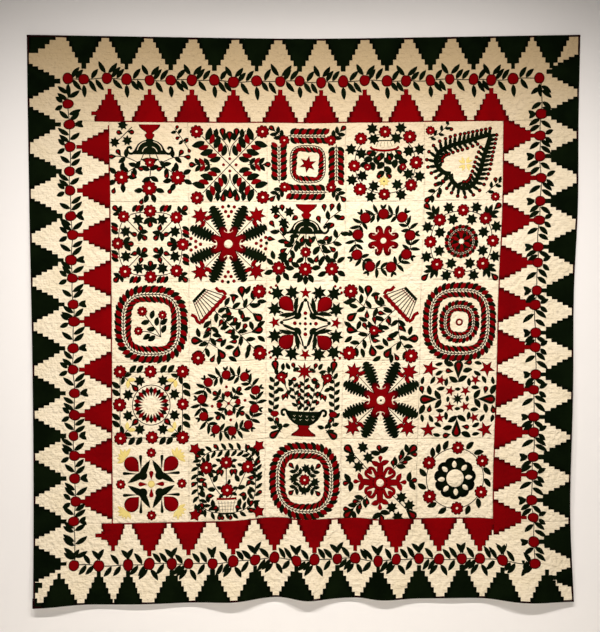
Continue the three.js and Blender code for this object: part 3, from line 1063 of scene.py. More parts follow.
    def basket_top(self) -> None:
        """Sew a small basket with a red rim over three sprays and a gold flower."""
        self.profile(CREAM, ((104, 36), (94, 42), (74, 52)), 0.9, -4)
        for x in (-36, -20, -4, 12, 28):
            self.band(GREEN, [(x * 1.15, 76), (x * 0.8, 102)], 3.2, 1.8)
        self.band(GREEN, [(-40, 104), (-4, 106), (32, 104)], 6, 1.6)
        self.band(RED, [(-66, 78), (-52, 66), (-4, 60), (46, 66), (62, 78)], 11, 1.6)
        self.leafy_stem([(-4, 56), (-4, 0), (-4, -44)], 34, 40, 20)
        for hand in HANDS:
            self.leafy_stem([(30 * hand - 4, 56), (52 * hand - 4, 20), (76 * hand, -10)], 30, 40, 20)
            self.bud((12 * hand - 4, 54), 270 + 22 * hand, 41, 25)
            self.bud((44 * hand - 4, 62), 270 + 60 * hand, 36, 23)
            self.bud((4 * hand - 4, -40), 270 + 48 * hand, 34, 22)
            self.rose((79 * hand, -16), 18)
        self.star((-5, -80), 27, 8, 0.6, 0, GOLD)
        self.disc(GREEN, (-5, -80), 4.5, 2.4)

    def fern_heart(self) -> None:
        """Sew a barbed green heart with berries on both sides, gold leaves inside it and corner sprigs."""
        half = ((-83, 0), (-100, 26), (-100, 67), (-79, 97), (-39, 106))
        half += ((16, 86), (67, 56), (129, 23), (172, 0))
        ahead, side = heading(45), heading(135)
        for hand in HANDS:
            path = curve_through([a * ahead + hand * b * side for a, b in half], 81)
            self.ribbon(GREEN, path, np.full(81, 10.5), 1.0, inner=3)
            for way, spacing, far in ((hand, 20, 43), (-hand, 24, 36)):
                for i, (spot, turn) in enumerate(zip(*even_steps(path, spacing))):
                    if way != hand and (i < 2 or spot @ ahead > 100):
                        continue
                    angle = turn + 64 * way
                    reach = far * float(np.interp(spot @ ahead, (40, 170), (1, 0.62)))
                    self.leaf(spot, angle, 0.94 * reach, 10.5, bend=-0.04 * way)
                    self.stem([spot, spot + reach * heading(angle)], 3.6)
                    self.disc(GREEN, spot + reach * heading(angle), 9.0)
                    self.disc(RED, spot + reach * heading(angle), 5.5, 1.7)
        for sx, sy in CORNERS:
            for turn in (24, 66):
                self.leaf((8 + 4 * sx, 4 * sy - 14), self.facing(turn, sx, sy), 28, 8, GOLD)
        self.leafy_stem([(-158, 106), (-112, 126), (-66, 170)], 34, 26, 10)
        self.bud((-66, 156), -50, 22, 16)
        self.rose((-150, 140), 22)
        self.leafy_stem([(-84, -94), (-124, -136), (-150, -162)], 40, 34, 13)
        self.bud((-144, -156), 228, 38, 24)
        self.bud((-108, -112), 165, 26, 17)
        self.bud((-118, -140), 285, 26, 17)
        self.leafy_stem([(100, -148), (140, -112), (170, -94)], 36, 28, 11)
        self.bud((144, -106), 95, 28, 18)
        self.rose((143, -164), 22)

    def sprig_ring(self) -> None:
        """Sew eight roses with star leaves, buds in the corners and four sprigs that point inwards."""
        ring = ((-119, 123), (0, 148), (118, 120), (-147, 2), (147, -2), (-115, -124), (0, -148), (118, -121))
        stars = self.in_corners(((54, 110), (111, 56)))
        for sx, sy, arm in DIAGONALS:
            self.stem([(100 * sx, 104 * sy), (42 * sx, 44 * sy)])
            self.bud((44 * sx, 46 * sy), arm + 180, 36, 23)
            for hand in HANDS:
                self.leaf((50 * sx, 52 * sy), arm + 180 + 48 * hand, 38, 15)
                self.leaf((138 * sx, 142 * sy), arm + 64 * hand, 30, 13)
            self.bud((136 * sx, 140 * sy), arm, 40, 24)
            self.bud((50 * sx, 94 * sy), self.facing(-107, sx, sy), 33, 21)
            self.bud((94 * sx, 50 * sy), self.facing(-163, sx, sy), 33, 21)
        for turn in QUARTERS:
            ahead, side = heading(turn), heading(turn + 90)
            self.bud(116 * ahead, turn + 180, 38, 23)
            for hand in HANDS:
                self.leaf(120 * ahead, turn + 180 + 46 * hand, 40, 16)
                for k in (-1, 0, 1):
                    spot = 143 * ahead + (62 * hand + 15 * k) * side
                    self.leaf(spot, turn - 30, 36, 14, GREEN if k else RED)
        self.rose_ring(ring, stars, 30, 3.0)

    def berry_cross(self) -> None:
        """Sew the cross of ferns with berries between them."""
        self.fern_cross(True)

    def fern_cross(self, berries: bool = False) -> None:
        """Sew eight ferns round a red scrolled cross, with lilies on the diagonals."""
        for quarter in range(4):
            arm = 90 * quarter
            for lean in (23.5, 66.5):
                self.fern(62 * heading(arm + lean), arm + lean, 126, 66, 9)
            corner = 180 * heading(arm + 45)
            self.stem([56 * heading(arm + 45), 0.9 * corner], 3.4)
            self.star(corner, 42, 7, 0.52, arm + 45)
            for hand in HANDS:
                self.leaf(0.84 * corner, arm + 45 + 104 * hand, 36, 14, RED)
            if berries:
                for far, off in ((126, 0), (147, 13), (147, -13), (168, 26), (168, -26)):
                    self.disc(RED, far * heading(arm) + off * heading(arm + 90), 8)
                self.disc(GREEN, 172 * heading(arm), 8)
        self.scroll_cross(80, 20)
        if not berries:
            self.disc(GREEN, (0, 0), 6, 3.6)

    def scroll_cross(self, size: float, hole: float, valley: float = 0.6, turn: float = 0.0) -> None:
        """Sew a red cross with two rounded lobes on each arm, cream notches and a cream hole."""
        off = np.abs((np.arange(144) * 2.5 + 45) % 90 - 45)
        shape = (0.76, 0.86, 1.0, 1.06, 1.08, 1.0, 0.78, valley)
        radii = size * np.interp(off, (0, 7, 12, 18, 26, 34, 40, 45), shape)
        self.rosette(RED, (0, 0), radii, turn, 2.0)
        for arm in range(4):
            way = 90 * arm + turn
            ahead, side = heading(way), heading(way + 90)
            self.drop(1.12 * size * ahead, way + 180, 0.5 * size, 0.16 * size, CREAM, 2.6)
            hook = [(0.8, 0.24), (0.7, 0.19), (0.65, 0.0), (0.7, -0.19), (0.8, -0.24)]
            self.band(CREAM, [size * (a * ahead + b * side) for a, b in hook], 0.09 * size, 2.6)
        self.disc(CREAM, (0, 0), hole, 2.9)

    def fruit_ring(self, fruits: tuple, reach: float, size: float) -> None:
        """Sew a ring of fruits with crowns of short leaves and pairs of leaves between them."""
        self.thread(ring_path(reach, reach))
        turns = sorted(math.degrees(math.atan2(y, x)) % 360 for x, y in fruits)
        for first, second in zip(turns, turns[1:] + [turns[0] + 360]):
            for share, lean, length in ((0.5, 44, 44), (0.5, 136, 40), (0.3, 14, 44), (0.3, 166, 38)):
                turn = first + share * (second - first)
                self.leaf(reach * heading(turn), turn + lean, length, 11.5)
        for x, y in fruits:
            turn = math.degrees(math.atan2(y, x))
            for lean in HANDS:
                spot = np.array([x, y]) + 0.42 * size * heading(turn)
                self.leaf(spot, turn + 30 * lean, 0.44 * size, 0.16 * size)
            self.fruit((x, y), 0.94 * size, size, turn - 90, 0.1)

    def wheel_ring(self) -> None:
        """Sew eight roses and sixteen star leaves round two small rings of red and green leaves."""
        ring = ((-102, 99), (3, 142), (105, 104), (-140, 0), (142, 3), (-106, -103), (-3, -141), (102, -101))
        places = ((62, 154), (42, 100), (155, 68), (98, 42))
        self.rose_ring(ring, self.in_corners(places), 30, 2.4)
        self.double_row(ring_path(55, 55)[::-1], 12, 19, 10.5, -1)
        for i in range(12):
            cloth = RED if i % 2 else GREEN
            self.leaf(10 * heading(30 * i), 30 * i, 40, 14, cloth)
        for sx, sy, arm in DIAGONALS:
            self.bud((140 * sx, 142 * sy), arm, 41, 25)
            for hand in HANDS:
                self.leaf((122 * sx, 124 * sy), arm + 30 * hand, 42, 13)
                self.leaf((116 * sx, 118 * sy), arm + 58 * hand, 42, 13)

    def spray_frame(self) -> None:
        """Sew a squared double-row wreath round a spray of three roses."""
        self.double_row(ring_path(127, 135, 2.9)[::-1], 16, 37, 13.5, -1)
        for x, y, radius in ((-40, 58, 24), (52, 42, 21), (-58, -30, 21)):
            self.stem([(44, -58), (0.45 * x + 18, 0.45 * y - 22), (x, y)])
            self.rose((x, y), radius, x)
        leaves = (
            (-8, 16, 196), (2, 24, 74), (20, -18, 186), (26, -8, 84), (46, -4, 44), (50, -40, 62),
            (-6, -42, 218), (18, -50, 216),
        )
        self.scatter(leaves, (), (38, 16))

    def left_basket(self) -> None:
        """Sew a basket in the upper left corner."""
        self.corner_basket(1)

    def right_basket(self) -> None:
        """Sew a basket in the upper right corner, with one more rose."""
        self.corner_basket(-1)
        self.rose((-36, -44), 25)

    def corner_basket(self, hand: int) -> None:
        """Sew a fluted basket in an upper corner and leafy stems that fan out from it to buds and roses.

        Args:
            hand: 1 for a basket in the left corner, -1 for one in the right.
        """
        side = np.array([hand, 1.0])
        foot = [side * (-156, 92), side * (-101, 150)]
        rim = [side * (-122, -4), side * (-8, 119)]
        for share in np.linspace(0.02, 0.98, 9):
            self.band(GREEN, [mix(*foot, share), mix(*rim, share)], 4.4, 0.8)
        self.band(GREEN, foot, 13, 1.2)
        self.band(RED, [mix(foot[0], rim[0], 0.16), mix(foot[1], rim[1], 0.16)], 3.4, 1.2)
        along = np.linspace(0, 1, 61)
        scallops = 7 + 3.5 * np.abs(np.sin(7 * math.pi * along))
        self.ribbon(RED, rim[0] + along[:, None] * (rim[1] - rim[0]), scallops, 1.6)
        for knots in (
            ((-120, -6), (-137, 4), (-147, 24), (-166, 34)),
            ((-7, 121), (-20, 138), (-38, 140), (-54, 156)),
        ):
            self.band(RED, [side * knot for knot in knots], 15, 1.6)
        for knots in (
            ((-58, 50), (0, -4), (60, -62), (128, -134)), ((-16, 72), (40, 56), (84, 64), (128, 104)),
            ((-76, 14), (-76, -50), (-88, -96), (-120, -148)),
        ):
            self.leafy_stem([side * knot for knot in knots], 46, 42, 14.5, 50)
        for x, y, turn, end_x, end_y in (
            (84, 64, 96, 68, 104), (84, 64, -38, 112, 36), (60, -62, 14, 106, -52),
            (60, -62, 258, 49, -106), (-80, -84, 176, -110, -86), (-86, -92, -58, -46, -118),
        ):
            self.stem([side * (x, y), side * (end_x, end_y)], 3.4)
            self.bud(side * (end_x, end_y), self.facing(turn, hand, 1), 52, 33)
        leaves = (
            (52, 112, 165), (84, 122, 60), (134, 84, 0), (110, 60, 18), (-10, 72, 62), (-44, 42, 28),
            (-8, 2, 30), (65, 0, 17), (100, -2, -70), (40, -40, 60), (-34, -34, 17), (-108, -24, 40),
            (-126, -68, 105), (-70, -58, -12), (-30, -114, 55), (-12, -120, 6), (54, -68, 180),
            (136, -72, -38), (136, -30, 36), (4, -160, -30), (-42, -150, 270), (94, -128, 255),
        )
        buds = (
            (26, 78, 85), (-20, 30, 12), (69, 50, 270), (30, -20, 80), (-42, -24, 60), (-108, -52, 40),
            (-16, -50, 10), (66, -46, 60), (-62, -86, 8), (4, -92, 4), (-56, -146, 240),
        )
        self.scatter(leaves, buds, (41.0, 14.5), hand)
        for x, y in ((144, 132), (148, -150), (-134, -162)):
            self.rose(side * (x, y), 34, x)

    def pomegranates(self) -> None:
        """Sew a green lobed cross, four pomegranates among dark jagged leaves, stars and dots."""
        for sx, sy, arm in DIAGONALS:
            self.lobe(sx, sy, 106)
            self.scatter(((46, 56, 101), (56, 46, -11)), (), (62, 13), sx, sy)
            for x, y, turn in ((38, 44, 110), (44, 38, -20)):
                self.leaf((x * sx, y * sy), self.facing(turn, sx, sy), 64, 4.5, CREAM, layer=1.9)
            for x, y, turn in ((61, 140, 78), (140, 61, 12), (130, 134, 46)):
                spot = np.array([x * sx, y * sy])
                way = self.facing(turn, sx, sy)
                self.star(spot, 36, 7, 0.54, way, GREEN)
                self.stem([spot, 0.72 * spot], 6)
            for x, y in ((164, 138), (134, 168), (158, 160)):
                self.disc(RED, (x * sx, y * sy), 6.5)
            self.drop(74 * heading(arm), arm, 86, 68, RED, 1.4)
        for turn in QUARTERS:
            self.star(140 * heading(turn), 29, 5, 0.42, turn)
            self.disc(GREEN, 108 * heading(turn), 8.5)
            self.disc(GREEN, 24 * heading(turn), 6.5)
            self.disc(RED, 48 * heading(turn), 9)
        self.disc(RED, (0, 0), 8)

    def lobe(self, sx: int, sy: int, reach: float) -> None:
        """Sew one quarter of a lobed cross: a green heart with two long points along the axes."""
        self.disc(GREEN, (39 * sx, 39 * sy), 21, 1.0)
        for tip in ((6 * sx, reach * sy), (reach * sx, 6 * sy)):
            path = np.linspace((44 * sx, 44 * sy), tip, 12)
            half = np.interp(np.linspace(0, 1, 12), (0, 0.3, 0.7, 1), (13, 15, 9, 0.8))
            self.ribbon(GREEN, path, half, 0.95, inner=5)

    def ringed_frame(self) -> None:
        """Sew a squared double-row wreath, a rounder one inside it and a red ring."""
        self.double_row(ring_path(132, 144, 2.9)[::-1] - (0, 10), 16, 33, 13, -1)
        self.double_row(ring_path(65, 70, 2.4)[::-1] - (0, 10), 12.5, 25, 10.5, -1)
        self.disc(RED, (0, -12), 17)
        self.disc(CREAM, (0, -12), 9, 1.9)

    def rose_square(self) -> None:
        """Sew eight roses on a square stem round a ring of red and green points."""
        ring = ((-143, 150), (-4, 150), (143, 149), (-145, 2), (144, 2), (-141, -149), (3, -146), (144, -149))
        self.thread(ring_path(143, 148, 12.0))
        for side in QUARTERS:
            for place in (-96, -64, 44, 78):
                self.leaf(143 * heading(side) - place * heading(side + 90), side - 38, 42, 17)
        self.star_leaves(self.in_corners(((53, 109), (106, 47))), 23)
        self.thread(ring_path(86, 90))
        for i in range(24):
            turn = 15 * i
            self.point(83 * heading(turn), turn + 180, 43, 22, RED if i % 2 else GREEN)
        for sx, sy, arm in DIAGONALS:
            self.stem([(84 * sx, 86 * sy), (122 * sx, 126 * sy)])
            self.bud((92 * sx, 95 * sy), arm + 180, 39, 25)
            for hand in HANDS:
                self.leaf((108 * sx, 112 * sy), arm + 180 + 46 * hand, 34, 13, GOLD)
                self.leaf((126 * sx, 128 * sy), arm + 180 + 62 * hand, 36, 13)
        self.roses(ring, 31)

    def heart_ring(self) -> None:
        """Sew a fruit ring round four hearts on crossed sprigs."""
        fruits = (
            (-12, 130), (-94, 98), (72, 118), (-124, 22), (124, 54), (-114, -56), (120, -30), (-58, -116),
            (18, -126), (92, -102),
        )
        self.fruit_ring(fruits, 130, 46)
        for turn in (8, 98, 188, 278):
            self.stem([(0, 0), 58 * heading(turn + 45)])
            self.heart(46 * heading(turn), 34, turn)
            self.disc(RED, 76 * heading(turn), 7)
            self.bud(54 * heading(turn + 45), turn + 45, 34, 22)
            for hand in HANDS:
                self.leaf(26 * heading(turn + 45), turn + 45 + 44 * hand, 33, 11)
                self.leaf(56 * heading(turn + 45), turn + 45 + 66 * hand, 32, 11)
        self.disc(RED, (0, 0), 7.5)

    def tall_urn(self) -> None:
        """Sew an upright urn with leafy stems, a red star flower and side stems with roses."""
        foot = ((-164, 56), (-154, 55), (-140, 34), (-126, 22), (-120, 28), (-113, 27))
        bowl = ((-114, 26), (-104, 48), (-88, 66), (-70, 78), (-56, 84), (-50, 84))
        leaves = ((52, 130, 150), (66, 138, 60), (70, 60, 120), (92, 40, 20), (84, 20, 140))
        leaves += ((98, -130, 40), (96, -126, 160))
        buds = ((44, 140, 70), (76, 126, -60), (66, 88, 160), (84, 62, 60), (74, 0, 70))
        buds += ((98, -8, 100), (112, -112, 60))
        for x, tip in ((-40, 84), (0, 92), (40, 84)):
            self.leafy_stem([(0.6 * x, -52), (x, 10), (1.3 * x, tip)], 30, 27, 11)
            for level in (-24, 12, 50):
                self.bud((1.05 * x + 12, level), 64, 24, 17)
        self.star((0, 132), 44, 8, 0.42, 90)
        for hand in HANDS:
            knots = ((104, -150), (138, -96), (138, 0), (134, 96), (92, 138))
            self.leafy_stem([(x * hand, y) for x, y in knots], 32, 31, 13)
            self.stem([(60 * hand, 10), (104 * hand, 94)])
            self.rose((106 * hand, 100), 23)
            self.fruit((134 * hand, -66), 40, 28, 0, 0.1)
            self.bud((126 * hand, 112), 90 - 10 * hand, 60, 30)
            self.bud((100 * hand, -134), 270 + 52 * hand, 62, 31)
            self.scatter(leaves, buds, (32.0, 13.0), hand)
        self.profile(RED, foot, 0.9)
        self.profile(GREEN, bowl, 1.0)
        for hand in HANDS:
            knots = [(70, -58), (88, -46), (101, -54), (98, -70), (87, -70)]
            self.band(GREEN, [(x * hand, y) for x, y in knots], 12, 1.1)
            for x in (15, 43):
                for level in (-62, -78):
                    edge = [((x - 12) * hand, level), (x * hand, level - 12), ((x + 12) * hand, level)]
                    self.strip(CREAM, np.array(edge), 4.8, 1.8)

    def star_burst(self) -> None:
        """Sew stars along the diagonals, big buds on the axes and leaves between them."""
        for sx, sy, arm in DIAGONALS:
            for x, y, radius in ((131, 139, 39), (79, 86, 27), (35, 36, 26)):
                self.star((x * sx, y * sy), radius, 5, 0.42, arm + 12)
            self.scatter(((72, 165, -12), (165, 68, 102)), (), (34, 12), sx, sy)
            self.scatter(((104, 108, 150), (108, 104, -60), (54, 58, 96), (60, 52, -6)), (), (36, 13), sx, sy)
        for turn in QUARTERS:
            ahead, side = heading(turn), heading(turn + 90)
            self.bud(90 * ahead, turn, 76, 38)
            self.leaf(46 * ahead - 13 * side, turn + 90, 26, 11)
            for hand in HANDS:
                self.leaf(77 * ahead, turn + 57 * hand, 46, 17)
            self.leaf(124 * ahead - 20 * side, turn - 78, 42, 16)
            self.bud(124 * ahead + 22 * side, turn + 80, 34, 21)
            self.leaf(154 * ahead + 22 * side, turn + 66, 46, 18)
            self.bud(160 * ahead - 24 * side, turn - 76, 36, 23)
        self.star((0, 0), 28, 8, 0.45, 90, GREEN)

    def drop_cross(self) -> None:
        """Sew a green lobed cross with big red drops, small roses on the axes and gold corner leaves."""
        for sx, sy, arm in DIAGONALS:
            self.lobe(sx, sy, 108)
            self.drop(80 * heading(arm), arm, 84, 68, RED, 1.2)
            for x, y, turn in ((47, 62, 88), (62, 47, 2)):
                self.drop((x * sx, y * sy), self.facing(turn, sx, sy), 70, 15, GREEN)
            for lean in (-74, -42, -14, 16, 44, 76):
                length = 34 + 12 * self.rng.random()
                self.leaf(168 * heading(arm), arm + lean, length, 11, GOLD)
        for turn in QUARTERS:
            self.rose(141 * heading(turn), 23, turn, 8)
            self.drop(18 * heading(turn), turn, 42, 21, RED, 1.3)
        self.disc(GOLD, (0, 0), 16)

    def basket(self) -> None:
        """Sew a cream lattice basket of roses inside a leafy wreath with red corner flowers."""
        path = ring_path(134, 142, 3.2)
        self.wreath_leaves(path, 16.5, 36, 11.5)
        for i in range(4, 96, 11):
            turn = math.degrees(math.atan2(path[i, 1], path[i, 0]))
            self.bud(1.03 * path[i], turn + 30, 27, 19)
        roses = ((-94, 64), (-2, 85), (98, 60), (3, -40))
        for x, y in roses:
            self.stem([(0.15 * x, -76), (0.6 * x, 0.3 * y - 40), (x, y)])
        leaves = ((50, -34, 4), (100, -68, 60), (82, -94, 82), (58, -118, 80))
        leaves += ((60, -4, 120), (108, 0, 30), (60, 20, 50))
        buds = ((88, -30, 50), (54, -64, 0), (46, 22, 108), (22, 20, 84))
        buds += ((106, -128, 70), (92, 12, -8), (72, -130, 150))
        for hand in HANDS:
            self.scatter(leaves, buds, (36.0, 15.0), hand)
        for x, y in roses:
            self.round_rose((x, y), 24, (10, 75, 160, 220, 330), 26)
            self.rose((x, y), 31, x, 8)
        self.profile(CREAM, ((-80, 44), (-100, 40), (-120, 36), (-142, 33)), 1.2)
        for x in (-30, -18, -6, 6, 18, 30):
            self.band(GREEN, [(1.25 * x, -86), (x, -140)], 4.0, 2.0)
        for level, half in ((-98, 41), (-112, 38), (-126, 35)):
            self.band(GREEN, [(-half, level), (half, level)], 3.6, 2.0)
        self.band(RED, [(-46, -79), (-20, -81), (20, -81), (46, -79)], 13, 2.1)
        self.band(GREEN, [(-34, -145), (34, -145)], 9, 1.9)
        for x in (-20, 18):
            self.bud((x, -148), 270, 24, 18)
        for sx, sy, arm in DIAGONALS:
            self.star((147 * sx, 149 * sy), 31, 5, 0.6, arm)
            for hand in HANDS:
                self.leaf((134 * sx, 134 * sy), arm + 180 + 62 * hand, 34, 14)

    def rose_frame(self) -> None:
        """Sew a squared double-row wreath round a rose, four star leaves and four sprigs."""
        self.double_row(ring_path(125, 138, 2.7) - (0, 6), 16, 36, 13.5, 1)
        self.star_leaves(((48, -10), (6, 52), (-50, 2), (-2, -48)), 20)
        for arm in (45, 135, 225, 315):
            self.sprig(22 * heading(arm), arm, 46, 31)
        self.rose((0, 0), 27)

    def scroll_block(self) -> None:
        """Sew a red cross with curled scrolls, tulips in the corners, star leaves and sprigs."""
        stars = ((82, 157), (136, 106), (55, 112), (100, 68))
        for sx, sy, arm in DIAGONALS:
            self.stem([56 * heading(arm), 178 * heading(arm)])
            self.bud(168 * heading(arm), arm, 60, 34)
            if sx * sy < 0:
                self.star_leaves(tuple((x * sx, y * sy) for x, y in stars), 24)
                continue
            leaves = ((74, 76, 100), (104, 108, 94), (76, 72, -6), (106, 104, 4), (130, 134, 110))
            self.scatter(leaves, (), (40, 16), sx, sy)
            for x, y, turn in ((62, 66, 96), (88, 92, 76), (90, 88, 8), (134, 126, -2)):
                self.bud((x * sx, y * sy), self.facing(turn, sx, sy), 34, 21)
        for turn in QUARTERS:
            ahead, side = heading(turn), heading(turn + 90)
            base = 134 * ahead
            self.bud(base, turn + 16, 36, 22)
            for lean in (-52, 82):
                self.leaf(base, turn + lean, 44, 17)
            self.band(RED, [0 * ahead, 40 * ahead, 92 * ahead], 30, 1.0)
            self.drop(88 * ahead, turn, 36, 21, RED, 1.1)
            for hand in HANDS:
                self.leaf(80 * ahead, turn + 66 * hand, 42, 17, RED)
                curl = [(20, 12), (46, 22), (64, 34), (62, 50), (46, 50), (44, 38)]
                self.band(RED, [a * ahead + b * hand * side for a, b in curl], 16, 1.05)
        self.disc(RED, (0, 0), 36, 1.1)
        self.disc(CREAM, (0, 0), 18, 2.0)

    def scallop_ring(self) -> None:
        """Sew six roses on a round stem about a scalloped green ring with cream petals."""
        self.thread(ring_path(132, 137))
        leaves = ((-101, 96, 96), (-80, 112, 84), (-54, 128, 66), (50, 130, 46), (84, 110, 14))
        leaves += ((128, 48, -40), (134, 0, -52), (104, -90, -82), (66, -122, 250), (-40, -132, 216))
        leaves += ((-84, -110, 200), (-132, 12, 132), (-130, -44, 152))
        self.scatter(leaves, (), (44.0, 17.0))
        at = np.arange(120) / 120
        radii = 97 * (0.87 + 0.13 * np.abs(np.cos(math.pi * 11 * at)) ** 0.5)
        self.rosette(GREEN, (0, 0), radii, 8, 1.0)
        self.disc(CREAM, (0, 0), 41, 1.7)
        for i in range(8):
            self.leaf(46 * heading(45 * i + 4), 45 * i + 4, 32, 15, CREAM, 0.0, 2.4)
        self.roses(((10, 138), (124, 80), (121, -62), (10, -137), (-117, -82), (-121, 72)), 31)

    def album_ring(self) -> None:
        """Sew a ring of eight roses and star leaves round a small basket and its sprays."""
        ring = ((0, 146), (-108, 114), (110, 121), (-138, -10))
        ring += ((139, 3), (-112, -117), (-3, -139), (116, -99))
        stars = (
            (-58, 160), (70, 162), (-50, 112), (50, 116), (-152, 66), (-106, 46), (105, 56), (154, 63),
            (-148, -74), (-102, -56), (104, -48), (154, -60), (-64, -150), (72, -142), (-50, -102),
            (54, -96),
        )
        self.basket_top()
        self.rose_ring(ring, stars, 31)

    def cross_ring(self) -> None:
        """Sew a fruit ring round a red scrolled cross."""
        fruits = (
            (-2, 122), (-84, 103), (82, 106), (-116, 26), (120, 22), (-118, -66), (106, -64), (-57, -118),
            (39, -121),
        )
        self.fruit_ring(fruits, 127, 53)
        self.scroll_cross(68, 14, 0.46, 45)

    def corner_urn(self) -> None:
        """Sew an urn on its rim with three roses and sprays below it and a sprig in each upper corner."""
        self.urn()
        leaves = ((46, 8, -60), (56, -12, 10), (74, -24, -100), (96, -40, 34), (104, 22, 92), (110, 24, -40))
        buds = ((40, 14, 190), (64, -20, -160), (84, -36, -112), (128, 26, 58), (146, 28, -6))
        for hand in HANDS:
            self.stem([(28 * hand, 36), (52 * hand, -10), (94 * hand, -40), (126 * hand, -66)])
            self.stem([(58 * hand, 2), (104 * hand, 22), (150 * hand, 28)])
            self.scatter(leaves, buds, (38.0, 14.5), hand)
        self.stem([(0, 36), (2, -30), (-4, -100)], 4.4)
        for level, lean in ((-34, 64), (-66, 120)):
            for hand in HANDS:
                self.leaf((0, level), 90 + lean * hand, 40, 16)
        self.rose((0, 0), 24)
        roses = (
            (-128, -68, (140, 82, 0, 205, 275)), (124, -68, (95, 30, 195, -25, 240)),
            (-4, -116, (190, -15, -70, 250)),
        )
        for x, y, turns in roses:
            self.round_rose((x, y), 29, turns)
            self.rose((x, y), 35, 10 + x)
            self.bud((x - 30, y - 44), 250, 28, 19)
        self.star_sprig(-112, 126)
        self.stem([(112, 154), (142, 112), (172, 64)], 3.0)
        leaves = ((120, 142, 196), (130, 130, 60), (148, 102, 226), (152, 96, 34))
        self.scatter(leaves, ((118, 146, 70), (138, 118, 208), (158, 86, 60), (170, 68, -66)), (25.0, 10.5))

    def full_urn(self) -> None:
        """Sew an urn on its rim between leafy sprays, four roses below it and a star-leaf sprig."""
        self.urn()
        for knots in (
            [(-26, 38), (-60, -24), (-100, -92)], [(37, 38), (60, -16), (104, -96)],
            [(-58, -26), (-95, 14), (-128, 54)], [(60, -16), (120, -4), (164, 46)],
            [(76, 66), (105, 104), (158, 144)],
        ):
            self.leafy_stem(knots, 46, 40, 15, 52)
        leaves = (
            (-140, -84, 105), (-144, -108, 135), (-84, -72, 185), (133, -84, 75), (144, -98, 35),
            (66, -112, 75), (-44, -48, 80), (-22, -22, 62), (24, -22, 118), (37, -60, 65), (-8, -70, 215),
            (6, -72, -40),
        )
        buds = (
            (-95, 28, 115), (-140, 60, 125), (-136, 6, 170), (-62, -6, 180), (-82, -30, 215),
            (-56, -60, 245), (-8, 33, 250), (12, 31, 290), (70, 2, 30), (104, -20, 320), (58, -56, 250),
            (98, 54, 50), (136, 98, 20), (108, 136, 75), (82, 134, 95), (64, 82, 110),
        )
        self.scatter(leaves, buds, (40.0, 15.0))
        self.stem([(0, 36), (0, -30), (0, -100)], 4.4)
        self.rose((0, -46), 26)
        roses = (
            (-120, (0, -50, -95, 200, 60)), (0, (155, 215, -120, -90, -60, 5)),
            (120, (205, -70, -30, 110)),
        )
        for x, turns in roses:
            self.round_rose((x, -124), 28, turns, 40)
            self.rose((x, -124), 33, 10 + x)
        self.stem([(-74, 74), (-142, 152)])
        self.star_leaves(((-140, 142), (-76, 134), (-102, 84)), 22)
        self.bud((-106, 134), 98, 31, 22)
        self.bud((-114, 116), 188, 31, 22)
        self.bud((-66, 96), 38, 31, 22)

    def draw(self) -> None:
        """Sew the design that belongs to the block's place."""
        designs = (
            (self.corner_urn, self.spray_cross, self.star_rows, self.album_ring, self.fern_heart),
            (self.sprig_ring, self.berry_cross, self.full_urn, self.cross_ring, self.wheel_ring),
            (self.spray_frame, self.left_basket, self.pomegranates, self.right_basket, self.ringed_frame),
            (self.rose_square, self.heart_ring, self.tall_urn, self.fern_cross, self.star_burst),
            (self.drop_cross, self.basket, self.rose_frame, self.scroll_block, self.scallop_ring),
        )
        designs[self.plan.row][self.plan.column]()


def linear(colour: str) -> tuple:
    """Return the linear colour, with full alpha, of an sRGB hex colour."""
    parts = [int(colour[i : i + 2], 16) / 255 for i in (1, 3, 5)]
    return (*(p / 12.92 if p <= 0.04045 else ((p + 0.055) / 1.055) ** 2.4 for p in parts), 1.0)


def add_node(tree: Tree, kind: str, sockets: dict, **settings: object) -> bpy.types.Node:
    """Add a node with its settings, each socket given a value or joined to another socket."""
    node = tree.nodes.new(kind)
    for name, value in settings.items():
        setattr(node, name, value)
    for key, value in sockets.items():
        if isinstance(value, Socket):
            tree.links.new(value, node.inputs[key])
        else:
            node.inputs[key].default_value = value
    return node


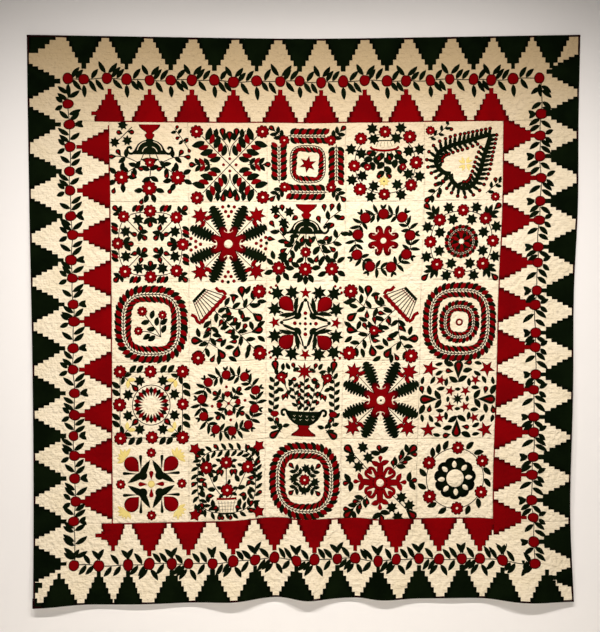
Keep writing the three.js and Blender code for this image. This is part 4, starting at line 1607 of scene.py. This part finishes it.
@dataclass(frozen=True)
class CottonFinish:
    """A plain-woven cotton: colours that drift over the cloth, stains, a weave and quilting lines, with
    painted shade in the quilting grooves, towards the top and at patch edges.

    The weave is drawn at 2.6 mm, coarser than its real half millimetre, which is too fine to show.
    """

    name: str
    colour: str
    drift: str
    # Dark colour of the painted shade at patch edges and in quilting grooves, and of stains
    edge: str
    roughness: float = 0.92
    sheen: float = 0.015
    bump: float = 0.8
    drift_scale: float = 7.0
    spot_scale: float = 21.0
    warp_scale: float = 26.0
    warp_mm: float = 16.0
    weave_mm: float = 2.6
    weave_depth: float = 0.25
    quilting_mm: float = 10.5
    quilting_depth: float = 0.0
    pucker_scale: float = 48.0
    pucker_depth: float = 36.0
    # Colour of the painted shade towards the top, standing in for the light falling off there; empty for
    # none, which also leaves out the painted groove shade and the stains
    top_shade: str = ""
    patched: bool = False

    def noise(self, tree: Tree, place: Socket, scale: float) -> Socket:
        """Return soft noise with a number of bumps to the metre."""
        sockets = {"Vector": place, "Scale": scale, "Detail": 3.0, "Roughness": 0.55}
        return add_node(tree, "ShaderNodeTexNoise", sockets).outputs["Fac"]

    def sums(self, tree: Tree, operation: str, *values: object) -> Socket:
        """Return the outcome of an operation on numbers and sockets."""
        return add_node(tree, "ShaderNodeMath", dict(enumerate(values)), operation=operation).outputs[0]

    def waves(self, tree: Tree, at: Socket, pitch_mm: float) -> Socket:
        """Return a sine along a coordinate in metres, from -1 to 1."""
        return self.sums(tree, "SINE", self.sums(tree, "MULTIPLY", at, TAU / (pitch_mm * MM)))

    def blend(self, tree: Tree, share: object, low: object, high: object) -> Socket:
        """Return a mix of two colours by a share."""
        sockets = {"Factor": share, 6: low, 7: high}
        return add_node(tree, "ShaderNodeMix", sockets, data_type="RGBA").outputs[2]

    def ramp(self, tree: Tree, value: Socket, low: float, high: float, most: float) -> Socket:
        """Return 0 to most as a value goes from low to high."""
        sockets = {"Value": value, 1: low, 2: high, 3: 0.0, 4: most}
        return add_node(tree, "ShaderNodeMapRange", sockets, interpolation_type="SMOOTHSTEP").outputs[0]

    def build(self) -> bpy.types.Material:
        """Make the material."""
        material = bpy.data.materials.new(self.name)
        material.use_nodes = True
        tree = material.node_tree
        tree.nodes.clear()
        plan = add_node(tree, "ShaderNodeUVMap", {}, uv_map="Cloth").outputs[0]
        split = add_node(tree, "ShaderNodeSeparateXYZ", {0: plan})
        x, y = split.outputs[0], split.outputs[1]
        drift = self.ramp(tree, self.noise(tree, plan, self.drift_scale), 0.35, 0.68, 0.85)
        colour = self.blend(tree, drift, linear(self.colour), linear(self.drift))
        warp = self.noise(tree, plan, self.warp_scale)
        bent = self.sums(tree, "MULTIPLY_ADD", warp, self.warp_mm * MM, y)
        lines = self.waves(tree, bent, self.quilting_mm)
        thread_x, thread_y = self.waves(tree, x, self.weave_mm), self.waves(tree, y, self.weave_mm)
        weave = self.sums(tree, "MULTIPLY", thread_x, thread_y)
        if self.top_shade:
            # Painted shade: towards the top the cloth darkens to a tan, standing in for the light falling off
            # there
            top = self.ramp(tree, y, -0.75, 0.0, 0.8)
            colour = self.blend(tree, top, colour, linear(self.top_shade))
            # Painted shade: the quilting grooves darken where shade falls in them; the noise spots below are
            # stains
            groove_shade = self.ramp(tree, lines, -0.3, -1.0, 0.16)
            colour = self.blend(tree, groove_shade, colour, linear(self.edge))
            spots = self.ramp(tree, self.noise(tree, plan, self.spot_scale), 0.66, 0.78, 0.3)
            colour = self.blend(tree, spots, colour, linear(self.edge))
        if self.patched:
            tint = add_node(tree, "ShaderNodeAttribute", {}, attribute_name="tint").outputs["Fac"]
            rim = add_node(tree, "ShaderNodeAttribute", {}, attribute_name="rim").outputs["Fac"]
            colour = self.blend(tree, self.sums(tree, "MULTIPLY", tint, 0.35), colour, linear(self.drift))
            # Painted shade: each patch darkens towards its edge, where the turned-under cloth falls into
            # shade
            colour = self.blend(tree, self.ramp(tree, rim, 0.34, 0.0, 0.9), colour, linear(self.edge))
        raised = self.sums(tree, "MULTIPLY", weave, self.weave_depth * 0.1)
        raised = self.sums(tree, "MULTIPLY_ADD", lines, self.quilting_depth * 0.5, raised)
        full = self.noise(tree, plan, self.pucker_scale)
        raised = self.sums(tree, "MULTIPLY_ADD", full, self.quilting_depth * self.pucker_depth, raised)
        bump = add_node(tree, "ShaderNodeBump", {"Height": raised, "Strength": self.bump, "Distance": MM})
        sockets = {
            "Base Color": colour, "Roughness": self.roughness, "Normal": bump.outputs[0],
            "Specular IOR Level": self.sheen,
        }
        surface = add_node(tree, "ShaderNodeBsdfPrincipled", sockets)
        add_node(tree, "ShaderNodeOutputMaterial", {"Surface": surface.outputs[0]})
        return material


# Each finish: name, colour, drift colour, and a dark colour for painted shade at patch edges and in quilting
# grooves and for stains; the cream cloths also darken towards the top with painted shade
FINISHES = {
    CREAM: CottonFinish(
        "cream_quilted_cotton", "#efe2c9", "#e8dabd", "#c4a880", quilting_depth=0.5, top_shade="#b2966a"
    ),
    Cloth.BACKING: CottonFinish(
        "cream_backing_cotton", "#e9dcc0", "#e0d0b0", "#c4aa82", quilting_depth=0.6, pucker_depth=12.0,
        top_shade="#d8c49c",
    ),
    Cloth.BINDING: CottonFinish("maroon_binding_cotton", "#1a0506", "#260a0b", "#0c0303"),
    RED: CottonFinish("turkey_red_cotton", "#7a0206", "#690206", "#1e0202", patched=True),
    GREEN: CottonFinish("dark_green_cotton", "#050b03", "#0c1507", "#020401", patched=True),
    GOLD: CottonFinish("faded_gold_cotton", "#e2cf85", "#d6c070", "#b89b4c", patched=True),
}


class Quilt:
    """The whole quilt: its grounds, body, binding and sewn-on cloth."""

    seed: int = 1848
    # Millimetres of the face's grid, and how many of them a cell of the back takes up
    cell: float = 6.5
    back_cells: float = 2.2
    # Share of the width that the blocks take up
    blocks_width: float = 0.7135
    # Where the back lies, and its share of the relief of the face
    back_lift: float = -2.6
    back_relief: float = 0.5
    binding_steps: int = 240
    # How far in from the edge and how far in front of the body's face, round a length of binding
    section: tuple = (
        (7.8, 1.8), (8.0, 2.5), (6.5, 3.0), (3.0, 3.2), (0.2, 3.0), (-1.0, 2.1), (-1.3, 0.5), (-1.3, -1.8),
        (-1.0, -3.3), (0.2, -4.1), (3.0, -4.3), (8.0, -4.1), (8.0, -3.4), (-0.2, -3.3), (-0.3, 1.75),
    )
    # Row and column of blocks whose design sits off its middle, and by how much
    shifts: dict = {
        (0, 0): (5.0, -2.0), (0, 1): (10.0, -11.0), (0, 2): (6.0, -7.0), (0, 3): (0.0, -8.0),
        (1, 0): (3.0, -8.0), (1, 1): (3.0, -9.0), (1, 3): (-3.0, 3.0), (1, 4): (-3.0, -6.0),
        (2, 0): (4.0, -8.0), (2, 2): (3.0, -11.0), (3, 0): (4.0, -10.0), (3, 1): (6.0, -9.0),
        (4, 0): (4.0, -5.0), (4, 2): (8.0, 0.0), (4, 3): (5.0, -14.0),
    }

    def __init__(self) -> None:
        self.materials = {cloth: finish.build() for cloth, finish in FINISHES.items()}
        self.rng = np.random.default_rng(self.seed)
        self.patches: list[bpy.types.Object] = []

    def dress(self, obj: bpy.types.Object, cloth: Cloth, nodes: tuple = ()) -> bpy.types.Object:
        """Give a piece its cloth, join it to the root and hide the solids that it stands for."""
        obj.data.materials.append(self.materials[cloth])
        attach(obj, "root")
        if nodes:
            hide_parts(*nodes)
        return obj

    def lines(self, low: float, high: float, size: float, cell: float) -> Array:
        """Return evenly spaced places between two shares, their count a multiple of four."""
        count = 4 * max(1, round((high - low) * size / cell / 4))
        return np.linspace(low, high, count + 1)

    def panel(self, name: str, node: str, across: Array, down: Array) -> None:
        """Make one cream ground with its relief, a block or a border."""
        sheet = ThinSheet(name, across, down, RELIEF.face(across, down), RELIEF.back)
        obj = self.dress(sheet.build(), CREAM, (node,))

    def build_blocks(self) -> None:
        """Make the grounds of the blocks, their columns leaning with the right seam."""
        for row in range(BLOCKS):
            down_lines = self.lines(0, 1 / BLOCKS, (SHEET.seam_foot - SHEET.seam_top) * SHEET.drop, self.cell)
            for column in range(BLOCKS):
                u = self.lines(0, 1 / BLOCKS, self.blocks_width * SHEET.width, self.cell)
                level = mix(SHEET.seam_top, SHEET.seam_foot, down_lines + row / BLOCKS)
                share, down = np.meshgrid(u + column / BLOCKS, level)
                across = mix(SHEET.seam_left, SHEET.seam_at_right(down), share)
                label = f"r{row + 1}c{column + 1}"
                self.panel(f"ground_{label}", f"block_{label}", across, down)

    def build_borders(self) -> None:
        """Make the border grounds: top and foot whole, the sides between them."""
        whole = self.lines(0, 1, SHEET.width, self.cell)
        for name, low, high in (("top", 0.0, SHEET.seam_top), ("foot", SHEET.seam_foot, 1.0)):
            across, down = np.meshgrid(whole, self.lines(low, high, SHEET.drop, self.cell))
            self.panel(f"ground_{name}", f"border_{name}", across, down)
        level = self.lines(SHEET.seam_top, SHEET.seam_foot, SHEET.drop, self.cell)
        share, down = np.meshgrid(self.lines(0, 1, SHEET.seam_left * SHEET.width, self.cell), level)
        self.panel("ground_left", "border_left", share * SHEET.seam_left, down)
        self.panel("ground_right", "border_right", mix(SHEET.seam_at_right(down), 1.0, share), down)

    def build_patches(self) -> None:
        """Sew all patches and make a mesh of each cloth, row by row and for the borders."""
        groups = []
        border = {cloth: PatchBook(f"border_{cloth.value}", cloth) for cloth in (RED, GREEN)}
        BorderArt(border, self.rng).sew()
        groups.append(border)
        for row in range(BLOCKS):
            books = {
                cloth: PatchBook(f"row{row + 1}_{cloth.value}", cloth)
                for cloth in (RED, GREEN, CREAM, GOLD)
            }
            for column in range(BLOCKS):
                plan = BlockPlan(row, column, self.shifts.get((row, column), (0.0, 0.0)))
                BlockArt(plan, books, self.rng).draw()
            groups.append(books)
        for books in groups:
            for cloth, book in books.items():
                if book.count:
                    self.patches.append(self.dress(book.build(), cloth))

    def build_body(self) -> None:
        """Make the wadded body, its back fine with the quilting that shows there."""
        cell = self.back_cells * self.cell
        across, down = np.meshgrid(self.lines(0, 1, SHEET.width, cell), self.lines(0, 1, SHEET.drop, cell))
        back = self.back_lift - self.back_relief * (RELIEF.face(across, down) - RELIEF.seam_lift)
        body = ThinSheet("body_backing", across, down, back, 0.0, behind=True).build()
        self.dress(body, Cloth.BACKING, ("quilt_body",))

    def build_binding(self, side: Side) -> None:
        """Make one length of binding: a rounded section, folded over the edge, carried along it."""
        section = np.array(self.section)
        upright = side in (Side.LEFT, Side.RIGHT)
        run = SHEET.drop if upright else SHEET.width
        across_run = SHEET.width if upright else SHEET.drop
        margin = (8.3 if upright else -1.3) / run
        along = np.linspace(margin, 1 - margin, self.binding_steps + 1)[:, None]
        wobble = 1 + 0.07 * np.sin(along * run / 23) + 0.05 * np.sin(along * run / 9.7 + 1)
        reach = np.where(section[:, 0] > 5, section[:, 0] * wobble, section[:, 0]) / across_run
        far = reach if side in (Side.TOP, Side.LEFT) else 1 - reach
        lift = np.broadcast_to(section[:, 1], reach.shape)
        place = np.broadcast_to(along, reach.shape)
        across, down = (far, place) if upright else (place, far)
        points = SHEET.place(across, down, lift).reshape(-1, 3)
        size = len(section)
        i, k = np.meshgrid(np.arange(self.binding_steps), np.arange(size), indexing="ij")
        a, b = (i * size + k).ravel(), (i * size + (k + 1) % size).ravel()
        quads = np.stack([a, b, b + size, a + size], axis=1)
        caps = np.stack([np.arange(size)[::-1], self.binding_steps * size + np.arange(size)])
        if side in (Side.RIGHT, Side.TOP):
            quads, caps = quads[:, ::-1], caps[:, ::-1]
        plan = np.stack([across.ravel() * SHEET.width, -down.ravel() * SHEET.drop], axis=1) * MM
        maps = {"Cloth": [plan[quads], plan[caps]]}
        obj = make_mesh(f"bound_{side.value}", points, [quads, caps], maps, {})
        self.dress(obj, Cloth.BINDING, (f"binding_{side.value}",))

    def build(self) -> None:
        """Make every piece."""
        self.build_blocks()
        self.build_borders()
        self.build_patches()
        self.build_body()
        for side in Side:
            self.build_binding(side)


@dataclass
class Studio:
    """Backdrop, floor, lights and camera round the quilt, in metres."""

    middle: tuple = (-0.016, -1.246)
    view_height: float = 2.844
    lens: float = 50.0
    sensor: float = 36.0
    wall_gap: float = 0.013
    floor_level: float = -3.1
    wall_top: float = 3.0
    room: float = 6.0
    # Name, place across and power of each lamp
    lamps: tuple = (("left", -1.15, 305), ("middle", 0.15, 214), ("right", 1.1, 262))
    lamp_out: float = -2.5
    lamp_level: float = 1.0
    lamp_angle: float = 79.0
    # Share of a lamp's place across at which it aims, and the height there
    lamp_aim: tuple = (0.65, -2.02)
    lamp_size: float = 0.02

    def plane(self, name: str, corners: list) -> bpy.types.Object:
        """Make a four-sided stage piece."""
        mesh = bpy.data.meshes.new(name)
        mesh.from_pydata(corners, [], [(0, 1, 2, 3)])
        obj = bpy.data.objects.new(name, mesh)
        bpy.context.scene.collection.objects.link(obj)
        return obj

    def paint(self, name: str, colour: str, one_sided: bool) -> bpy.types.Material:
        """Make plain matt paint, clear from behind where it is one-sided."""
        material = bpy.data.materials.new(name)
        material.use_nodes = True
        tree = material.node_tree
        tree.nodes.clear()
        paint = add_node(tree, "ShaderNodeBsdfDiffuse", {"Color": linear(colour)}).outputs[0]
        if one_sided:
            behind = add_node(tree, "ShaderNodeNewGeometry", {}).outputs["Backfacing"]
            clear = add_node(tree, "ShaderNodeBsdfTransparent", {}).outputs[0]
            paint = add_node(tree, "ShaderNodeMixShader", {0: behind, 1: paint, 2: clear}).outputs[0]
        add_node(tree, "ShaderNodeOutputMaterial", {"Surface": paint})
        return material

    def build_room(self) -> None:
        """Make the wall, which only the camera sees, and the floor."""
        r, y, z, top = self.room, self.wall_gap, self.floor_level, self.wall_top
        wall = self.plane("wall", [(-r, y, z), (r, y, z), (r, y, top), (-r, y, top)])
        wall.data.materials.append(self.paint("pale_wall_paint", "#f2f0f0", True))
        for ray in ("diffuse", "glossy", "transmission", "shadow"):
            setattr(wall, f"visible_{ray}", False)
        floor = self.plane("floor", [(-r, -r, z), (r, -r, z), (r, r, z), (-r, r, z)])
        floor.data.materials.append(self.paint("pale_floor_paint", "#e9e4da", False))

    def aim_light(self, data: bpy.types.Light, place: tuple, aim: tuple) -> None:
        """Put a light in place, face it to a point and hide it from the camera."""
        obj = bpy.data.objects.new(data.name, data)
        obj.location = place
        ahead = np.array(aim) - np.array(place)
        level = math.hypot(ahead[0], ahead[1])
        obj.rotation_euler = (math.pi / 2 + math.atan2(ahead[2], level), 0.0, math.atan2(-ahead[0], ahead[1]))
        obj.visible_camera = False
        bpy.context.scene.collection.objects.link(obj)

    def light(self, name: str, place: tuple, aim: tuple, size: tuple, power: float, colour: str) -> None:
        """Add a broad soft light."""
        data = bpy.data.lights.new(name, "AREA")
        data.shape = "RECTANGLE"
        data.size, data.size_y = size
        data.energy = power
        data.color = linear(colour)[:3]
        self.aim_light(data, place, aim)

    def spot(self, name: str, place: tuple, aim: tuple, power: float, colour: str) -> None:
        """Add a small lamp that throws a soft-edged pool of light, as wide as the lamp's angle."""
        data = bpy.data.lights.new(name, "SPOT")
        data.energy = power
        data.color = linear(colour)[:3]
        data.spot_size = math.radians(self.lamp_angle)
        data.spot_blend = 1.0
        data.shadow_soft_size = self.lamp_size
        self.aim_light(data, place, aim)

    def build_lights(self) -> None:
        """Light the quilt with three lamps from above, a soft one in front and one behind."""
        inwards, low = self.lamp_aim
        for name, x, power in self.lamps:
            place = (x, self.lamp_out, self.lamp_level)
            self.spot(f"lamp_{name}", place, (inwards * x, 0, low), power, "#fff8f0")
        self.light("front", (-0.3, -3.2, -1.9), (0, 0, -1.8), (1.8, 1.2), 22, "#fffaf4")
        self.light("back", (1.4, 3.2, 0.4), (0, 0, -1.3), (2.5, 2.0), 90, "#ffffff")
        world = bpy.data.worlds.new("room")
        world.use_nodes = True
        world.node_tree.nodes.clear()
        glow = add_node(world.node_tree, "ShaderNodeBackground", {0: linear("#f6efe6"), 1: 0.14})
        add_node(world.node_tree, "ShaderNodeOutputWorld", {"Surface": glow.outputs[0]})
        bpy.context.scene.world = world

    def build_camera(self) -> None:
        """Place the camera straight in front, its view as high as the picture."""
        data = bpy.data.cameras.new("camera")
        data.lens, data.sensor_width = self.lens, self.sensor
        camera = bpy.data.objects.new("camera", data)
        x, z = self.middle
        camera.location = (x, -self.view_height * self.lens / self.sensor, z)
        camera.rotation_euler = (math.pi / 2, 0, 0)
        bpy.context.scene.collection.objects.link(camera)
        bpy.context.scene.camera = camera

    def build(self) -> None:
        """Make the studio."""
        self.build_room()
        self.build_lights()
        self.build_camera()
        bpy.context.scene.view_settings.view_transform = "Standard"


def main() -> None:
    """Build the quilt and its studio and note how many sewn-on meshes there are."""
    logging.basicConfig(level=logging.INFO, format="%(name)s: %(message)s")
    quilt = Quilt()
    quilt.build()
    Studio().build()
    LOG.info("%d sewn-on meshes", len(quilt.patches))


if __name__ == "__main__":
    main()
